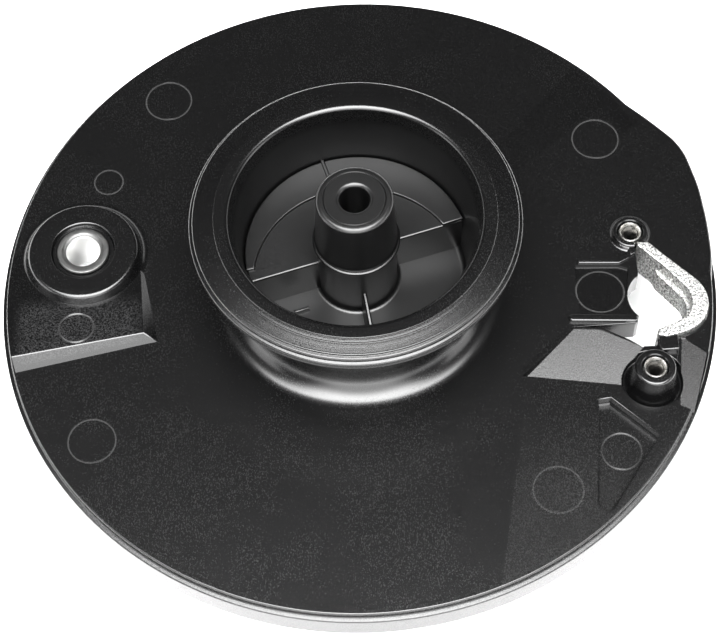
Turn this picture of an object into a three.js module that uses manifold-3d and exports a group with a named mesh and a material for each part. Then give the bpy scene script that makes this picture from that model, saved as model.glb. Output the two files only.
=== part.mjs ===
// Recoil starter of a small engine. A round moulded housing plate carries a hub turret, a bushed
// bolt hole, two threaded inserts and a rope exit with a metal wear guide. The spring, rope drum
// and pawls hang below it inside the drum well.
// Millimetres. +Z runs up along the crank axis, and z = 0 is the lower edge of the drum well.
import * as THREE from 'three';
import { mergeVertices } from 'three/addons/utils/BufferGeometryUtils.js';
import Module from 'manifold-3d';

const wasm = await Module();
wasm.setup();

// ---------------------------------------------------------------- driving dimensions
const GAP = 0.3; // clearance between neighbouring solids
const OVERCUT = 1; // how far a cutter runs past the face that it opens
const OVERLAP = 1; // how far a rib or ear runs into what carries it
const LARGE_SIDES = 48; // sides of a large turned face
const SMALL_SIDES = 24; // sides of a small turned face

// Drum well and plate
const WELL_R = 49; // outer radius of the drum well
const WELL_T = 2.5;
const PLATE_REACH = 41; // from the well's outer wall to the rim
const PLATE_T = 3;
const RIM_H = 9;
const RIM_T = 2.5;
const RIM_EDGE = 1.6; // edge break on top of the rim
const RIB_T = 1.8;
const RIB_H = 5;
const RIB_ANGLES = [28, 52, 76, 100, 124, 148, 205, 229, 253, 277, 301];
// Corners of the rim's ear, each as how far inside the rim it lies and its place along Y.
const EAR_CORNERS = [[0.02, 0], [0.02, 14], [0.8, 24.3], [3.1, 34.7], [5.4, 39.3], [11, 46.2]];

// Hub turret on top of the plate
const NECK_R = 29.5;
const NECK_T = 2.5;
const NECK_FILLET = 7;
const FLANGE_R = 40;
const FLANGE_H = 33; // top of the flange above the plate
const FLANGE_T = 3.4;
const FLANGE_FALL = 1.2; // how much the flange's top slopes down outwards
const FLANGE_EDGE = 1;
const LIP = 4; // rounding between the flange and the cup
const CUP_FLOOR = 3; // floor of the front half above the plate
const CUP_SHELF = 15; // raised floor of the back half above the plate
const SHELF_ANGLE = 15.8; // direction of the shelf's straight edge, in degrees
const SHELF_T = 3;
const SHELF_END = 12; // solid ends of the shelf, in degrees
const BOSS_TOP_R = 9.3;
const BOSS_FOOT_R = 10.7;
const BOSS_H = 39; // top of the central boss above the plate
const BOSS_EDGE = 0.8;
const BORE_R = 3.6;
const SOCKET_DEPTH = 16; // how far the spindle goes up into the boss
const SOCKET_WALL = 3.5;
const CUP_RIB_ANGLES = [-82];

// Bolt pad on the left, with its bush
const PAD_REACH = 20.3; // bolt centre beyond the well's outer wall
const PAD_Y = 11;
const PAD_TOP_R = 12.8;
const PAD_FOOT_R = 17;
const PAD_H = 4;
const BUSH_BORE_R = 4.2;
const BUSH_R = 5.4;
const BUSH_FLANGE_W = 1.2; // flange beyond the bush's body
const BUSH_FLANGE_T = 0.9;
const BUSH_EDGE = 0.4;
const COUNTERBORE_CLEAR = 1.4; // room round the bush's flange
const COUNTERBORE_D = 1.3;
const PAD_BOSS_R = 9;
const STEP_H = 3; // the step in front of the bolt pad
const STEP_FRONT = 24.5; // front edge of the step's top, before the bolt
const STEP_SLANT = 5; // how much further forward the edge is at its outer end
const STEP_SLOPE = 2.5; // run of the step's front face
const STEP_INSET = 3; // inner end of the step from the well's outer wall
const STEP_OVERRUN = 6; // how far inside the rim the step's outer end starts
const STEP_BACK = 1; // back edge of the step, behind the bolt

// Rope exit on the right, with its wear guide
const EXIT_REACH = 26; // middle of the exit beyond the well's outer wall
const EXIT_Y = -9;
const GUIDE_RISE = 1.6; // top of the guide above the plate
const GUIDE_H = 12;
const BLOCK_T = 4; // extra wall under the plate round the exit
const BLOCK_FROM = -52; // ends of the extra wall, in degrees
const BLOCK_TO = 17;
const BAR_RISE = 1;
const RAMP_DEPTH = 3;
const RAMP_LEAST = 0.1; // depth at the ramp's back edge
const RAMP_BACK = -6.5; // where the ramp is level with the plate, from the middle of the exit
const RAMP_FRONT = -24.2; // where it is deepest
const POCKET_DEPTH = 3;
const WINDOW_FROM = -6; // window in the well's wall, in degrees
const WINDOW_TO = 30;

// Threaded inserts
const INSERT_R = 3;
const INSERT_BORE_R = 1.95;
const INSERT_H = 8;
const INSERT_EDGE = 0.5;
const UPPER_OFFSET = [-5.4, 19.6]; // place from the middle of the exit
const LOWER_OFFSET = [-4.2, -22.2];
const UPPER_WALL = 1.1;
const UPPER_BOSS_H = 1.2;
const LOWER_WALL = 1.8;
const LOWER_BOSS_H = 6.3;
const LOWER_BASE_T = 1; // the boss's base beyond its wall
const LOWER_POCKET_W = 2.5; // pocket round the boss

// Spindle and centre screw
const SPINDLE_R = 4.7;
const SPINDLE_EDGE = 0.6;
const THREAD_DEPTH = 16; // threaded hole in the spindle's lower end
const SCREW_R = 2.7;
const SCREW_HEAD_R = 5.6; // across corners of the hexagon
const SCREW_HEAD_H = 4;
const SCREW_CLEAR = 1.2; // screw head above the well's lower edge
const LOCK_T = 1;
const LOCK_R = 5.2;
const LOCK_SPLIT = 10; // width of the washer's split, in degrees
const THRUST_T = 0.8;
const THRUST_R = 9;

// Drum
const DRUM_RUN = 3.5; // running clearance between the drum and the well
const GROOVE_D = 13;
const GROOVE_W = 6;
const GROOVE_WALL = 2.5;
const DRUM_LOWER_T = 1.6;
const DRUM_UPPER_T = 1.8;
const DRUM_WEB_T = 3;
const DRUM_HUB_R = 11.5;
const DRUM_BUSH_T = 2.2;
const ROPE_HOLE_R = 2.7;
const ROPE_HOLE_ANGLE = 40;

// Recoil spring, its cassette and its cover
const SPRING_W = 8; // width of the strip
const STRIP_T = 0.8;
const SPRING_TURNS = 6;
const CASSETTE_T = 1;
const COVER_T = 1;
const COVER_LAP = 1; // cover beyond the cassette's wall
const COVER_SCREW_R = 1.4;
const COVER_SCREW_L = 9;
const COVER_HEAD_R = 2.8;
const COVER_HEAD_H = 1.7;
const COVER_POST_R = 3.6;
const COVER_SCREW_ANGLES = [75, 195, 315];

// Pawls, their pins and springs, and the friction plate that swings them
const PAWL_PIVOT_R = 20;
const PAWL_H = 4;
const PAWL_EYE_R = 4;
const PAWL_PIN_R = 1.8;
const PAWL_ANGLES = [90, 270];
const PAWL_SWING = 35; // degrees from rest to full reach
const PEG_R = 1.3;
const PEG = [-1, -7]; // the peg's place on the pawl, from the pivot
// Corners of the pawl's arm and tooth, from the pivot.
const PAWL_ARM = [[-4.3, -7], [-4.6, -12.6], [-3, -16], [0.5, -16.5], [2.6, -12.5]];
const PEG_RUN = 0.45; // clearance of the peg in its slot
const FRICTION_TURN = 30; // degrees that the friction plate turns on the drum
const FRICTION_T = 1.4;
const FRICTION_REACH = 7.5; // rim of the friction plate beyond the pawls' pivots
const FRICTION_WIRE_R = 0.55;
const FRICTION_COIL_SPACE = 1.9; // from the spindle's surface to the coil's wire
const FRICTION_COIL_TURNS = 2.5;
const PAWL_WIRE_R = 0.35;
const PAWL_COIL_R = 2.7;
const PAWL_COIL_TURNS = 0.8;
const PAWL_LEG = 5; // straight end of the pawl's spring
const PAWL_COIL_SPACE = 1.7; // height of the pawl spring's room

// ---------------------------------------------------------------- derived places
const PLATE_R = WELL_R + PLATE_REACH;
const WELL_IN_R = WELL_R - WELL_T;
const HEAD_TOP = SCREW_CLEAR + SCREW_HEAD_H;
const LOCK_Z = HEAD_TOP + GAP;
const THRUST_Z = LOCK_Z + LOCK_T + GAP;
const SPINDLE_Z = THRUST_Z + THRUST_T + GAP;
const FRICTION_Z = SPINDLE_Z;
const PAWL_Z = FRICTION_Z + FRICTION_T + GAP;
const PAWL_TOP = PAWL_Z + PAWL_H;
const DRUM_Z = PAWL_TOP + PAWL_COIL_SPACE;
const GROOVE_Z = DRUM_Z + DRUM_LOWER_T;
const DRUM_TOP = GROOVE_Z + GROOVE_W + DRUM_UPPER_T;
const HEAD_Z = DRUM_TOP + GAP;
const COVER_Z = HEAD_Z + COVER_HEAD_H + GAP;
const SPRING_Z = COVER_Z + COVER_T + GAP;
const SPRING_TOP = SPRING_Z + SPRING_W;
const UNDERSIDE = SPRING_TOP + GAP + CASSETTE_T + GAP;
const PLATE_TOP = UNDERSIDE + PLATE_T;
const RIM_Z = PLATE_TOP - RIM_H;

const DRUM_R = WELL_IN_R - DRUM_RUN;
const GROOVE_R = DRUM_R - GROOVE_D;
const BUSH_IN_R = SPINDLE_R + GAP;
const BUSH_OUT_R = BUSH_IN_R + DRUM_BUSH_T;
const SOCKET_R = SPINDLE_R + GAP;
const THREAD_R = SCREW_R + GAP;
const FRICTION_R = PAWL_PIVOT_R + FRICTION_REACH;
const FRICTION_COIL_R = SPINDLE_R + FRICTION_COIL_SPACE;
const POST_R = WELL_IN_R - COVER_POST_R + GAP; // pitch radius of the cover's screws
const CASSETTE_R = POST_R - COVER_POST_R - 2 * GAP;
const SPRING_OUT_R = CASSETTE_R - CASSETTE_T - GAP;
const SPRING_IN_R = DRUM_HUB_R + GAP;
const COVER_R = CASSETTE_R + COVER_LAP;
const COVER_HOLE_R = DRUM_HUB_R + 2 * GAP;
const PAD_X = -(WELL_R + PAD_REACH);
const BUSH_FLANGE_R = BUSH_R + BUSH_FLANGE_W;
const COUNTERBORE_R = BUSH_FLANGE_R + COUNTERBORE_CLEAR;
const EXIT_X = WELL_R + EXIT_REACH;
const UPPER_INSERT = [EXIT_X + UPPER_OFFSET[0], EXIT_Y + UPPER_OFFSET[1]];
const LOWER_INSERT = [EXIT_X + LOWER_OFFSET[0], EXIT_Y + LOWER_OFFSET[1]];
const INSERT_HOLE_R = INSERT_R + GAP;
const UPPER_BOSS_R = INSERT_HOLE_R + UPPER_WALL;
const LOWER_BOSS_R = INSERT_HOLE_R + LOWER_WALL;
const LOWER_POCKET_R = LOWER_BOSS_R + LOWER_POCKET_W;
const POCKET_Z = PLATE_TOP - POCKET_DEPTH;

// ---------------------------------------------------------------- solids
const rad = THREE.MathUtils.degToRad;
const at = (r, deg) => [r * Math.cos(rad(deg)), r * Math.sin(rad(deg))];

// Points of an arc round (x, y), from one angle to another in degrees.
function arc(x, y, r, from, to, steps) {
  return Array.from({ length: steps + 1 }, (_, i) => {
    const [dx, dy] = at(r, from + ((to - from) * i) / steps);
    return [x + dx, y + dy];
  });
}

// A closed geometry as a manifold solid, turned right side out.
function toSolid(geometry) {
  const bare = geometry.clone();
  bare.deleteAttribute('normal');
  bare.deleteAttribute('uv');
  const merged = mergeVertices(bare, 1e-4);
  const place = merged.attributes.position;
  const index = merged.index.array;
  const corner = (i) => new THREE.Vector3().fromBufferAttribute(place, i);
  const faces = [];
  let volume = 0;
  for (let i = 0; i < index.length; i += 3) {
    const [a, b, c] = [index[i], index[i + 1], index[i + 2]];
    if (a === b || b === c || c === a) continue;
    faces.push([a, b, c]);
    volume += corner(a).dot(corner(b).cross(corner(c)));
  }
  const triVerts = Uint32Array.from(faces.flatMap(([a, b, c]) => (volume > 0 ? [a, b, c] : [a, c, b])));
  const vertProperties = Float32Array.from(place.array);
  return new wasm.Manifold(new wasm.Mesh({ numProp: 3, vertProperties, triVerts }));
}

// A solid turned round the Z axis from closed [radius, height] corners.
function turned(profile, sides = SMALL_SIDES) {
  const points = [...profile, profile[0]].map(([r, z]) => new THREE.Vector2(r, z));
  return toSolid(new THREE.LatheGeometry(points, sides).rotateX(Math.PI / 2));
}

function tube(inner, outer, z0, z1, sides = SMALL_SIDES) {
  return turned([[inner, z0], [outer, z0], [outer, z1], [inner, z1]], sides);
}

function disc(radius, z0, z1, sides = SMALL_SIDES) {
  return toSolid(new THREE.CylinderGeometry(radius, radius, z1 - z0, sides)
    .rotateX(Math.PI / 2).translate(0, 0, (z0 + z1) / 2));
}

// A straight prism over an outline of [x, y] corners.
function prism(outline, z0, z1) {
  const shape = new THREE.Shape(outline.map(([x, y]) => new THREE.Vector2(x, y)));
  const geometry = new THREE.ExtrudeGeometry(shape, { depth: z1 - z0, bevelEnabled: false });
  return toSolid(geometry.translate(0, 0, z0));
}

// A sector of a ring between two angles in degrees.
function sector(r0, r1, from, to, z0, z1, steps = 12) {
  return prism([...arc(0, 0, r1, from, to, steps), ...arc(0, 0, r0, to, from, steps)], z0, z1);
}

// A round wire of radius r swept along a list of points.
function wire(points, r) {
  const path = new THREE.CatmullRomCurve3(points);
  const section = new THREE.Shape(arc(0, 0, r, 0, 300, 5).map(([x, y]) => new THREE.Vector2(x, y)));
  const steps = points.length + 2;
  return toSolid(new THREE.ExtrudeGeometry(section, { steps, extrudePath: path, bevelEnabled: false }));
}

// Points of a coil of wire round the Z axis.
function coil(r, z0, z1, turns, stepsPerTurn = 14) {
  const count = Math.round(turns * stepsPerTurn);
  return Array.from({ length: count + 1 }, (_, i) => {
    const [x, y] = at(r, (360 * turns * i) / count);
    return new THREE.Vector3(x, y, z0 + ((z1 - z0) * i) / count);
  });
}

const moved = (solid, x, y, z = 0) => solid.translate([x, y, z]);
const spun = (solid, deg) => solid.rotate([0, 0, deg]);
const join = (first, ...rest) => rest.reduce((sum, solid) => sum.add(solid), first);
const cut = (first, ...rest) => rest.reduce((left, solid) => left.subtract(solid), first);

// ---------------------------------------------------------------- materials
const finish = (color, roughness, metalness) => ({ color, roughness, metalness });
const FINISHES = {
  blackPlastic: finish(0x1b1b1c, 0.45, 0),
  greyPlastic: finish(0x34363a, 0.5, 0),
  castMetal: finish(0xb9b9b4, 0.55, 0.9),
  plated: finish(0xc9c9c6, 0.3, 1),
  springSteel: finish(0x4c4f57, 0.32, 1),
  sheetSteel: finish(0x9a9ca0, 0.4, 1),
  bronze: finish(0x9c7440, 0.5, 0.9),
};

function mesh(name, solid, look) {
  const { vertProperties, triVerts, numProp } = solid.getMesh();
  const geometry = new THREE.BufferGeometry();
  geometry.setAttribute('position', new THREE.BufferAttribute(vertProperties, numProp));
  geometry.setIndex(new THREE.BufferAttribute(triVerts, 1));
  geometry.computeVertexNormals();
  const part = new THREE.Mesh(geometry, new THREE.MeshStandardMaterial(FINISHES[look]));
  part.name = name;
  return part;
}

// ---------------------------------------------------------------- housing
// Outer skin of the plate, neck, flange and central boss, and the well below, as one turning.
function housingTurning() {
  const flangeTop = PLATE_TOP + FLANGE_H;
  const neckTop = flangeTop - FLANGE_FALL - FLANGE_T;
  const cupR = NECK_R - NECK_T;
  const floor = PLATE_TOP + CUP_FLOOR;
  const bossTop = PLATE_TOP + BOSS_H;
  const socketTop = UNDERSIDE + SOCKET_DEPTH;
  const filletCentre = [NECK_R + NECK_FILLET, PLATE_TOP + NECK_FILLET];
  return turned([
    [PLATE_R, RIM_Z],
    [PLATE_R, PLATE_TOP - RIM_EDGE],
    [PLATE_R - RIM_EDGE, PLATE_TOP],
    ...arc(...filletCentre, NECK_FILLET, 270, 180, 4),
    [NECK_R, neckTop],
    [FLANGE_R, neckTop],
    [FLANGE_R, flangeTop - FLANGE_FALL - FLANGE_EDGE],
    [FLANGE_R - FLANGE_EDGE, flangeTop - FLANGE_FALL],
    ...arc(cupR + LIP, flangeTop - LIP, LIP, 90, 180, 3),
    [cupR, floor],
    [BOSS_FOOT_R, floor],
    [BOSS_TOP_R, bossTop - BOSS_EDGE],
    [BOSS_TOP_R - BOSS_EDGE, bossTop],
    [BORE_R + BOSS_EDGE, bossTop],
    [BORE_R, bossTop - BOSS_EDGE],
    [BORE_R, socketTop],
    [SOCKET_R, socketTop],
    [SOCKET_R, UNDERSIDE],
    [SOCKET_R + SOCKET_WALL, UNDERSIDE],
    [SOCKET_R + SOCKET_WALL, PLATE_TOP],
    [cupR - NECK_T, PLATE_TOP],
    [cupR - NECK_T, UNDERSIDE],
    [WELL_IN_R, UNDERSIDE],
    [WELL_IN_R, 0],
    [WELL_R, 0],
    [WELL_R, UNDERSIDE],
    [PLATE_R - RIM_T, UNDERSIDE],
    [PLATE_R - RIM_T, RIM_Z],
  ], LARGE_SIDES);
}

// The raised back half of the cup's floor, hollow underneath.
function cupShelf() {
  const cupR = NECK_R - NECK_T;
  const [from, to] = [SHELF_ANGLE, SHELF_ANGLE + 180];
  const inner = BORE_R + SOCKET_WALL;
  return sector(inner, cupR + GAP, from, to, PLATE_TOP + CUP_FLOOR - GAP, PLATE_TOP + CUP_SHELF, 24);
}

function cupShelfHollow() {
  const [from, to] = [SHELF_ANGLE + SHELF_END, SHELF_ANGLE + 180 - SHELF_END];
  const outer = NECK_R - 2 * NECK_T;
  return sector(BOSS_FOOT_R + NECK_T, outer, from, to, UNDERSIDE - OVERCUT, PLATE_TOP + CUP_SHELF - SHELF_T);
}

function cupRib(deg) {
  const length = NECK_R - NECK_T - BOSS_FOOT_R + 2 * OVERLAP;
  const outline = [[0, -RIB_T / 2], [length, -RIB_T / 2], [length, RIB_T / 2], [0, RIB_T / 2]];
  const rib = prism(outline, PLATE_TOP + CUP_FLOOR - GAP, PLATE_TOP + CUP_SHELF - SHELF_T);
  return spun(moved(rib, BOSS_FOOT_R - OVERLAP, 0), deg);
}

// Stiffening rib under the plate, from the well to the rim.
function plateRib(deg) {
  const [r0, r1] = [WELL_R - WELL_T / 2, PLATE_R - RIM_T / 2];
  const outline = [[r0, -RIB_T / 2], [r1, -RIB_T / 2], [r1, RIB_T / 2], [r0, RIB_T / 2]];
  return spun(prism(outline, UNDERSIDE - RIB_H, UNDERSIDE + GAP), deg);
}

// A shallow bulge of the rim beside the rope exit, with a flat side and a rounded corner.
function rimEar() {
  const inner = PLATE_R - RIM_T;
  const outside = EAR_CORNERS.map(([inset, y]) => [PLATE_R - inset, y]);
  const inside = [at(inner - OVERLAP, 32), at(inner, 22), at(inner, 10)];
  return prism([at(inner, 0), ...outside, at(PLATE_R, 33.4), ...inside], RIM_Z, PLATE_TOP);
}

// Round bolt pad with a sloping side, and the boss below it.
function boltPad() {
  const pad = turned([[0, PLATE_TOP - OVERCUT], [PAD_FOOT_R, PLATE_TOP - OVERCUT], [PAD_FOOT_R, PLATE_TOP],
    [PAD_TOP_R, PLATE_TOP + PAD_H], [0, PLATE_TOP + PAD_H]], 40);
  return moved(join(pad, disc(PAD_BOSS_R, RIM_Z, UNDERSIDE + GAP)), PAD_X, PAD_Y);
}

// Wedge-shaped shelf round the bolt pad: a step in front that falls to the plate's face behind.
function padStep() {
  const outerX = WELL_R + PAD_REACH + STEP_OVERRUN - PLATE_R;
  const innerX = PAD_REACH - STEP_INSET;
  const corners = (front, [z0, z1, z2, z3]) => [
    [outerX, -front - STEP_SLANT, z0], [innerX, -front, z1], [innerX, STEP_BACK, z2], [outerX, STEP_BACK, z3],
  ];
  const sunk = PLATE_TOP - OVERCUT;
  const foot = corners(STEP_FRONT + STEP_SLOPE, [sunk, sunk, sunk, sunk]);
  const top = corners(STEP_FRONT, [PLATE_TOP + STEP_H, PLATE_TOP + STEP_H / 2, PLATE_TOP, PLATE_TOP]);
  const limit = disc(PLATE_R - RIM_EDGE, 0, PLATE_TOP + BOSS_H, LARGE_SIDES);
  return moved(hexahedron(foot, top), PAD_X, PAD_Y).intersect(limit);
}

// A solid with four corners below and four above, both lists anticlockwise from above.
function hexahedron(foot, top) {
  const geometry = new THREE.BufferGeometry();
  geometry.setAttribute('position', new THREE.Float32BufferAttribute([...foot, ...top].flat(), 3));
  geometry.setIndex([0, 2, 1, 0, 3, 2, 4, 5, 6, 4, 6, 7,
    0, 1, 5, 0, 5, 4, 1, 2, 6, 1, 6, 5, 2, 3, 7, 2, 7, 6, 3, 0, 4, 3, 4, 7]);
  return toSolid(geometry);
}

// Outlines round the rope exit, from its middle: the wear guide's outer and inner sides, the slit
// that tapers away towards the hub, the bar's end, the exit's back, the ramp and the rim pocket.
const GUIDE_END = [[0.6, -11.4], [-1.7, -10.9]];
const GUIDE_OUTER = [[-4.1, 16.2], [-1.2, 16], [2, 12.4], ...arc(2.8, -1.4, 9, 42, -70, 8), ...GUIDE_END];
const GUIDE_INNER = [[-1.7, -9.3], [3.6, -7.2], ...arc(0.6, -1.2, 7.1, -40, 35, 5), [1.3, 9.4], [-4.1, 15.2]];
const SLIT = [[-2.1, -13], [-5.1, -13], [-6.4, -12.2], [-11.4, -9.4], [-15.4, -7.1], [-22.5, -6.7]];
const BAR_END = [[-6.8, -6.5], [-6, -5.9], [-6.6, -4.6]];
const EXIT_BACK = [...arc(-0.3, 1, 7.6, 225, 125, 5), [-4.5, 8.3], [-4.5, 16.4]];
const BAR = [...arc(-6.9, -5.5, 1, -90, 90, 5), ...arc(-22.2, -4.5, 1, 90, 270, 5)];
const RAMP = [[-36.3, -19.8], [-9.5, -24], [-9.2, -17.5], [-4.6, -12.6], [-15.4, -7.3], [-22.5, -6.9]];
const RAMP_SIDE = -40; // a line beyond the ramp's inner end
const RIM_POCKET = [[-18, -27.2], [-15, -26.9], [-4.4, -37.4], ...arc(-18.6, -54.4, 2.2, -60, -180, 4)];

function ropeGuide() {
  const top = PLATE_TOP + GUIDE_RISE;
  return moved(prism([...GUIDE_OUTER, ...GUIDE_INNER], top - GUIDE_H, top), EXIT_X, EXIT_Y);
}

// The exit seen from above: the guide's seat on the outside, a round left side for the rope, and a
// slit that tapers away towards the hub.
function exitOpening() {
  const outline = [...offsetOutline(GUIDE_OUTER, GAP), ...SLIT, ...BAR_END, ...EXIT_BACK];
  return moved(prism(outline, RIM_Z - OVERCUT, PLATE_TOP + GUIDE_RISE + OVERCUT), EXIT_X, EXIT_Y);
}

// An open run of corners moved sideways, to its left, by a distance.
function offsetOutline(points, distance) {
  return points.map(([x, y], i) => {
    const [ax, ay] = points[Math.max(i - 1, 0)];
    const [bx, by] = points[Math.min(i + 1, points.length - 1)];
    const length = Math.hypot(bx - ax, by - ay);
    return [x - (distance * (by - ay)) / length, y + (distance * (bx - ax)) / length];
  });
}

// The bar that closes the slit's hub side, standing a little above the plate.
function exitBar() {
  return moved(prism(BAR, UNDERSIDE, PLATE_TOP + BAR_RISE), EXIT_X, EXIT_Y);
}

// The sloping recess in front of the slit, level with the plate behind and deepest in front.
function rampRecess() {
  const corners = (frontZ, backZ) => [
    [RAMP_SIDE, RAMP_FRONT, frontZ], [0, RAMP_FRONT, frontZ],
    [0, RAMP_BACK, backZ], [RAMP_SIDE, RAMP_BACK, backZ],
  ];
  const [deep, shallow] = [PLATE_TOP - RAMP_DEPTH, PLATE_TOP - RAMP_LEAST];
  const high = PLATE_TOP + OVERCUT;
  const wedge = hexahedron(corners(deep, shallow), corners(high + OVERCUT, high + OVERCUT));
  return moved(prism(RAMP, deep, high).intersect(wedge), EXIT_X, EXIT_Y);
}

// The pocket near the rim with three straight walls.
function rimPocket() {
  return moved(prism(RIM_POCKET, POCKET_Z, PLATE_TOP + OVERCUT), EXIT_X, EXIT_Y);
}

// Extra wall under the plate round the rope exit.
function exitBlock() {
  const [inner, outer] = [WELL_R - GAP, PLATE_R - RIM_T + GAP];
  return sector(inner, outer, BLOCK_FROM, BLOCK_TO, UNDERSIDE - BLOCK_T, UNDERSIDE + GAP, 16);
}

function insertHole([x, y], top) {
  return moved(disc(INSERT_HOLE_R, top - INSERT_H - GAP, top + OVERCUT), x, y);
}

// Window in the well's wall through which the rope reaches the exit.
function ropeWindow() {
  const [inner, outer] = [WELL_IN_R - OVERCUT, WELL_R + OVERCUT];
  return sector(inner, outer, WINDOW_FROM, WINDOW_TO, DRUM_Z - GAP, DRUM_TOP + GAP);
}

function coverPost(deg) {
  const [x, y] = at(POST_R, deg);
  return moved(disc(COVER_POST_R, COVER_Z + COVER_T + GAP, UNDERSIDE + GAP), x, y);
}

function coverPostHole(deg) {
  const [x, y] = at(POST_R, deg);
  return moved(disc(COVER_SCREW_R + GAP, COVER_Z, COVER_Z + COVER_SCREW_L + GAP, 16), x, y);
}

function housing() {
  const upperTop = PLATE_TOP + UPPER_BOSS_H;
  const lowerTop = PLATE_TOP + LOWER_BOSS_H;
  const body = join(
    housingTurning(), cupShelf(), ...CUP_RIB_ANGLES.map(cupRib), ...RIB_ANGLES.map(plateRib), rimEar(),
    boltPad(), padStep(), exitBar(), ...COVER_SCREW_ANGLES.map(coverPost), exitBlock(),
    moved(disc(UPPER_BOSS_R, RIM_Z, upperTop), ...UPPER_INSERT),
    moved(disc(LOWER_BOSS_R + LOWER_BASE_T, RIM_Z, UNDERSIDE), ...LOWER_INSERT),
  );
  const pocket = moved(disc(LOWER_POCKET_R, POCKET_Z, PLATE_TOP + OVERCUT, 36), ...LOWER_INSERT);
  const recessed = cut(body, rampRecess(), rimPocket(), pocket);
  const lowerBoss = moved(disc(LOWER_BOSS_R, UNDERSIDE - OVERLAP, lowerTop), ...LOWER_INSERT);
  const bushHole = moved(join(disc(BUSH_R + GAP, RIM_Z - OVERCUT, PLATE_TOP + PAD_H),
    disc(COUNTERBORE_R, PLATE_TOP + PAD_H - COUNTERBORE_D, PLATE_TOP + PAD_H + OVERCUT, 32)), PAD_X, PAD_Y);
  return cut(
    join(recessed, lowerBoss), exitOpening(), bushHole, insertHole(UPPER_INSERT, upperTop),
    insertHole(LOWER_INSERT, lowerTop), cupShelfHollow(), ropeWindow(),
    ...COVER_SCREW_ANGLES.map(coverPostHole),
  );
}

// Flanged steel bush that takes the clamp load of the fixing bolt.
function mountBush() {
  const flangeZ = PLATE_TOP + PAD_H - COUNTERBORE_D + GAP;
  return moved(turned([[BUSH_BORE_R, RIM_Z], [BUSH_R, RIM_Z], [BUSH_R, flangeZ], [BUSH_FLANGE_R, flangeZ],
    [BUSH_FLANGE_R, flangeZ + BUSH_FLANGE_T], [BUSH_BORE_R + BUSH_EDGE, flangeZ + BUSH_FLANGE_T],
    [BUSH_BORE_R, flangeZ + BUSH_FLANGE_T - BUSH_EDGE]], 32), PAD_X, PAD_Y);
}

function insert([x, y], top) {
  return moved(turned([[INSERT_BORE_R, top - INSERT_H], [INSERT_R, top - INSERT_H], [INSERT_R, top],
    [INSERT_BORE_R + INSERT_EDGE, top], [INSERT_BORE_R, top - INSERT_EDGE]]), x, y);
}

// ---------------------------------------------------------------- spindle and its fasteners
function spindle() {
  const top = UNDERSIDE + SOCKET_DEPTH - GAP;
  const holeTop = SPINDLE_Z + THREAD_DEPTH;
  return turned([[THREAD_R, SPINDLE_Z], [SPINDLE_R, SPINDLE_Z], [SPINDLE_R, top - SPINDLE_EDGE],
    [SPINDLE_R - SPINDLE_EDGE, top], [0, top], [0, holeTop], [THREAD_R, holeTop]]);
}

function centreScrew() {
  const head = disc(SCREW_HEAD_R, SCREW_CLEAR, HEAD_TOP, 6);
  return join(head, disc(SCREW_R, HEAD_TOP - OVERCUT, SPINDLE_Z + THREAD_DEPTH - GAP, 16));
}

// A split spring washer: the split is a narrow sector left out of the ring.
function lockWasher() {
  const half = LOCK_SPLIT / 2;
  return sector(SCREW_R + GAP, LOCK_R, half, 360 - half, LOCK_Z, LOCK_Z + LOCK_T, 24);
}

// ---------------------------------------------------------------- spring, cassette and cover
function springCassette() {
  const roof = SPRING_TOP + GAP;
  const hole = SOCKET_R + SOCKET_WALL + GAP;
  return turned([[hole, roof], [CASSETTE_R - CASSETTE_T, roof], [CASSETTE_R - CASSETTE_T, SPRING_Z],
    [CASSETTE_R, SPRING_Z], [CASSETTE_R, roof + CASSETTE_T], [hole, roof + CASSETTE_T]], LARGE_SIDES);
}

// Flat spiral of spring strip, from the drum's hub out to the cassette's wall.
function recoilSpring() {
  const steps = SPRING_TURNS * 24;
  const rise = SPRING_OUT_R - SPRING_IN_R - STRIP_T;
  const run = (side) => Array.from({ length: steps + 1 }, (_, i) =>
    at(SPRING_IN_R + side + (rise * i) / steps, (360 * SPRING_TURNS * i) / steps));
  return prism([...run(STRIP_T), ...run(0).reverse()], SPRING_Z, SPRING_TOP);
}

// Ear of the spring cover that reaches out over one of the well's posts.
function coverEar(deg) {
  const half = COVER_HEAD_R;
  const root = COVER_R - 2 * OVERLAP;
  const outline = [[root, -half], ...arc(POST_R, 0, half, -90, 90, 8), [root, half]];
  return spun(prism(outline, COVER_Z, COVER_Z + COVER_T), deg);
}

function springCover() {
  const holes = COVER_SCREW_ANGLES.map((deg) =>
    moved(disc(COVER_SCREW_R + GAP, COVER_Z - OVERCUT, COVER_Z + COVER_T + OVERCUT, 16), ...at(POST_R, deg)));
  const plate = tube(COVER_HOLE_R, COVER_R, COVER_Z, COVER_Z + COVER_T, LARGE_SIDES);
  return cut(join(plate, ...COVER_SCREW_ANGLES.map(coverEar)), ...holes);
}

function coverScrew(deg) {
  const head = disc(COVER_HEAD_R, HEAD_Z, HEAD_Z + COVER_HEAD_H);
  const shank = disc(COVER_SCREW_R, HEAD_Z, COVER_Z + COVER_SCREW_L, 16);
  return moved(join(head, shank), ...at(POST_R, deg));
}

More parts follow.
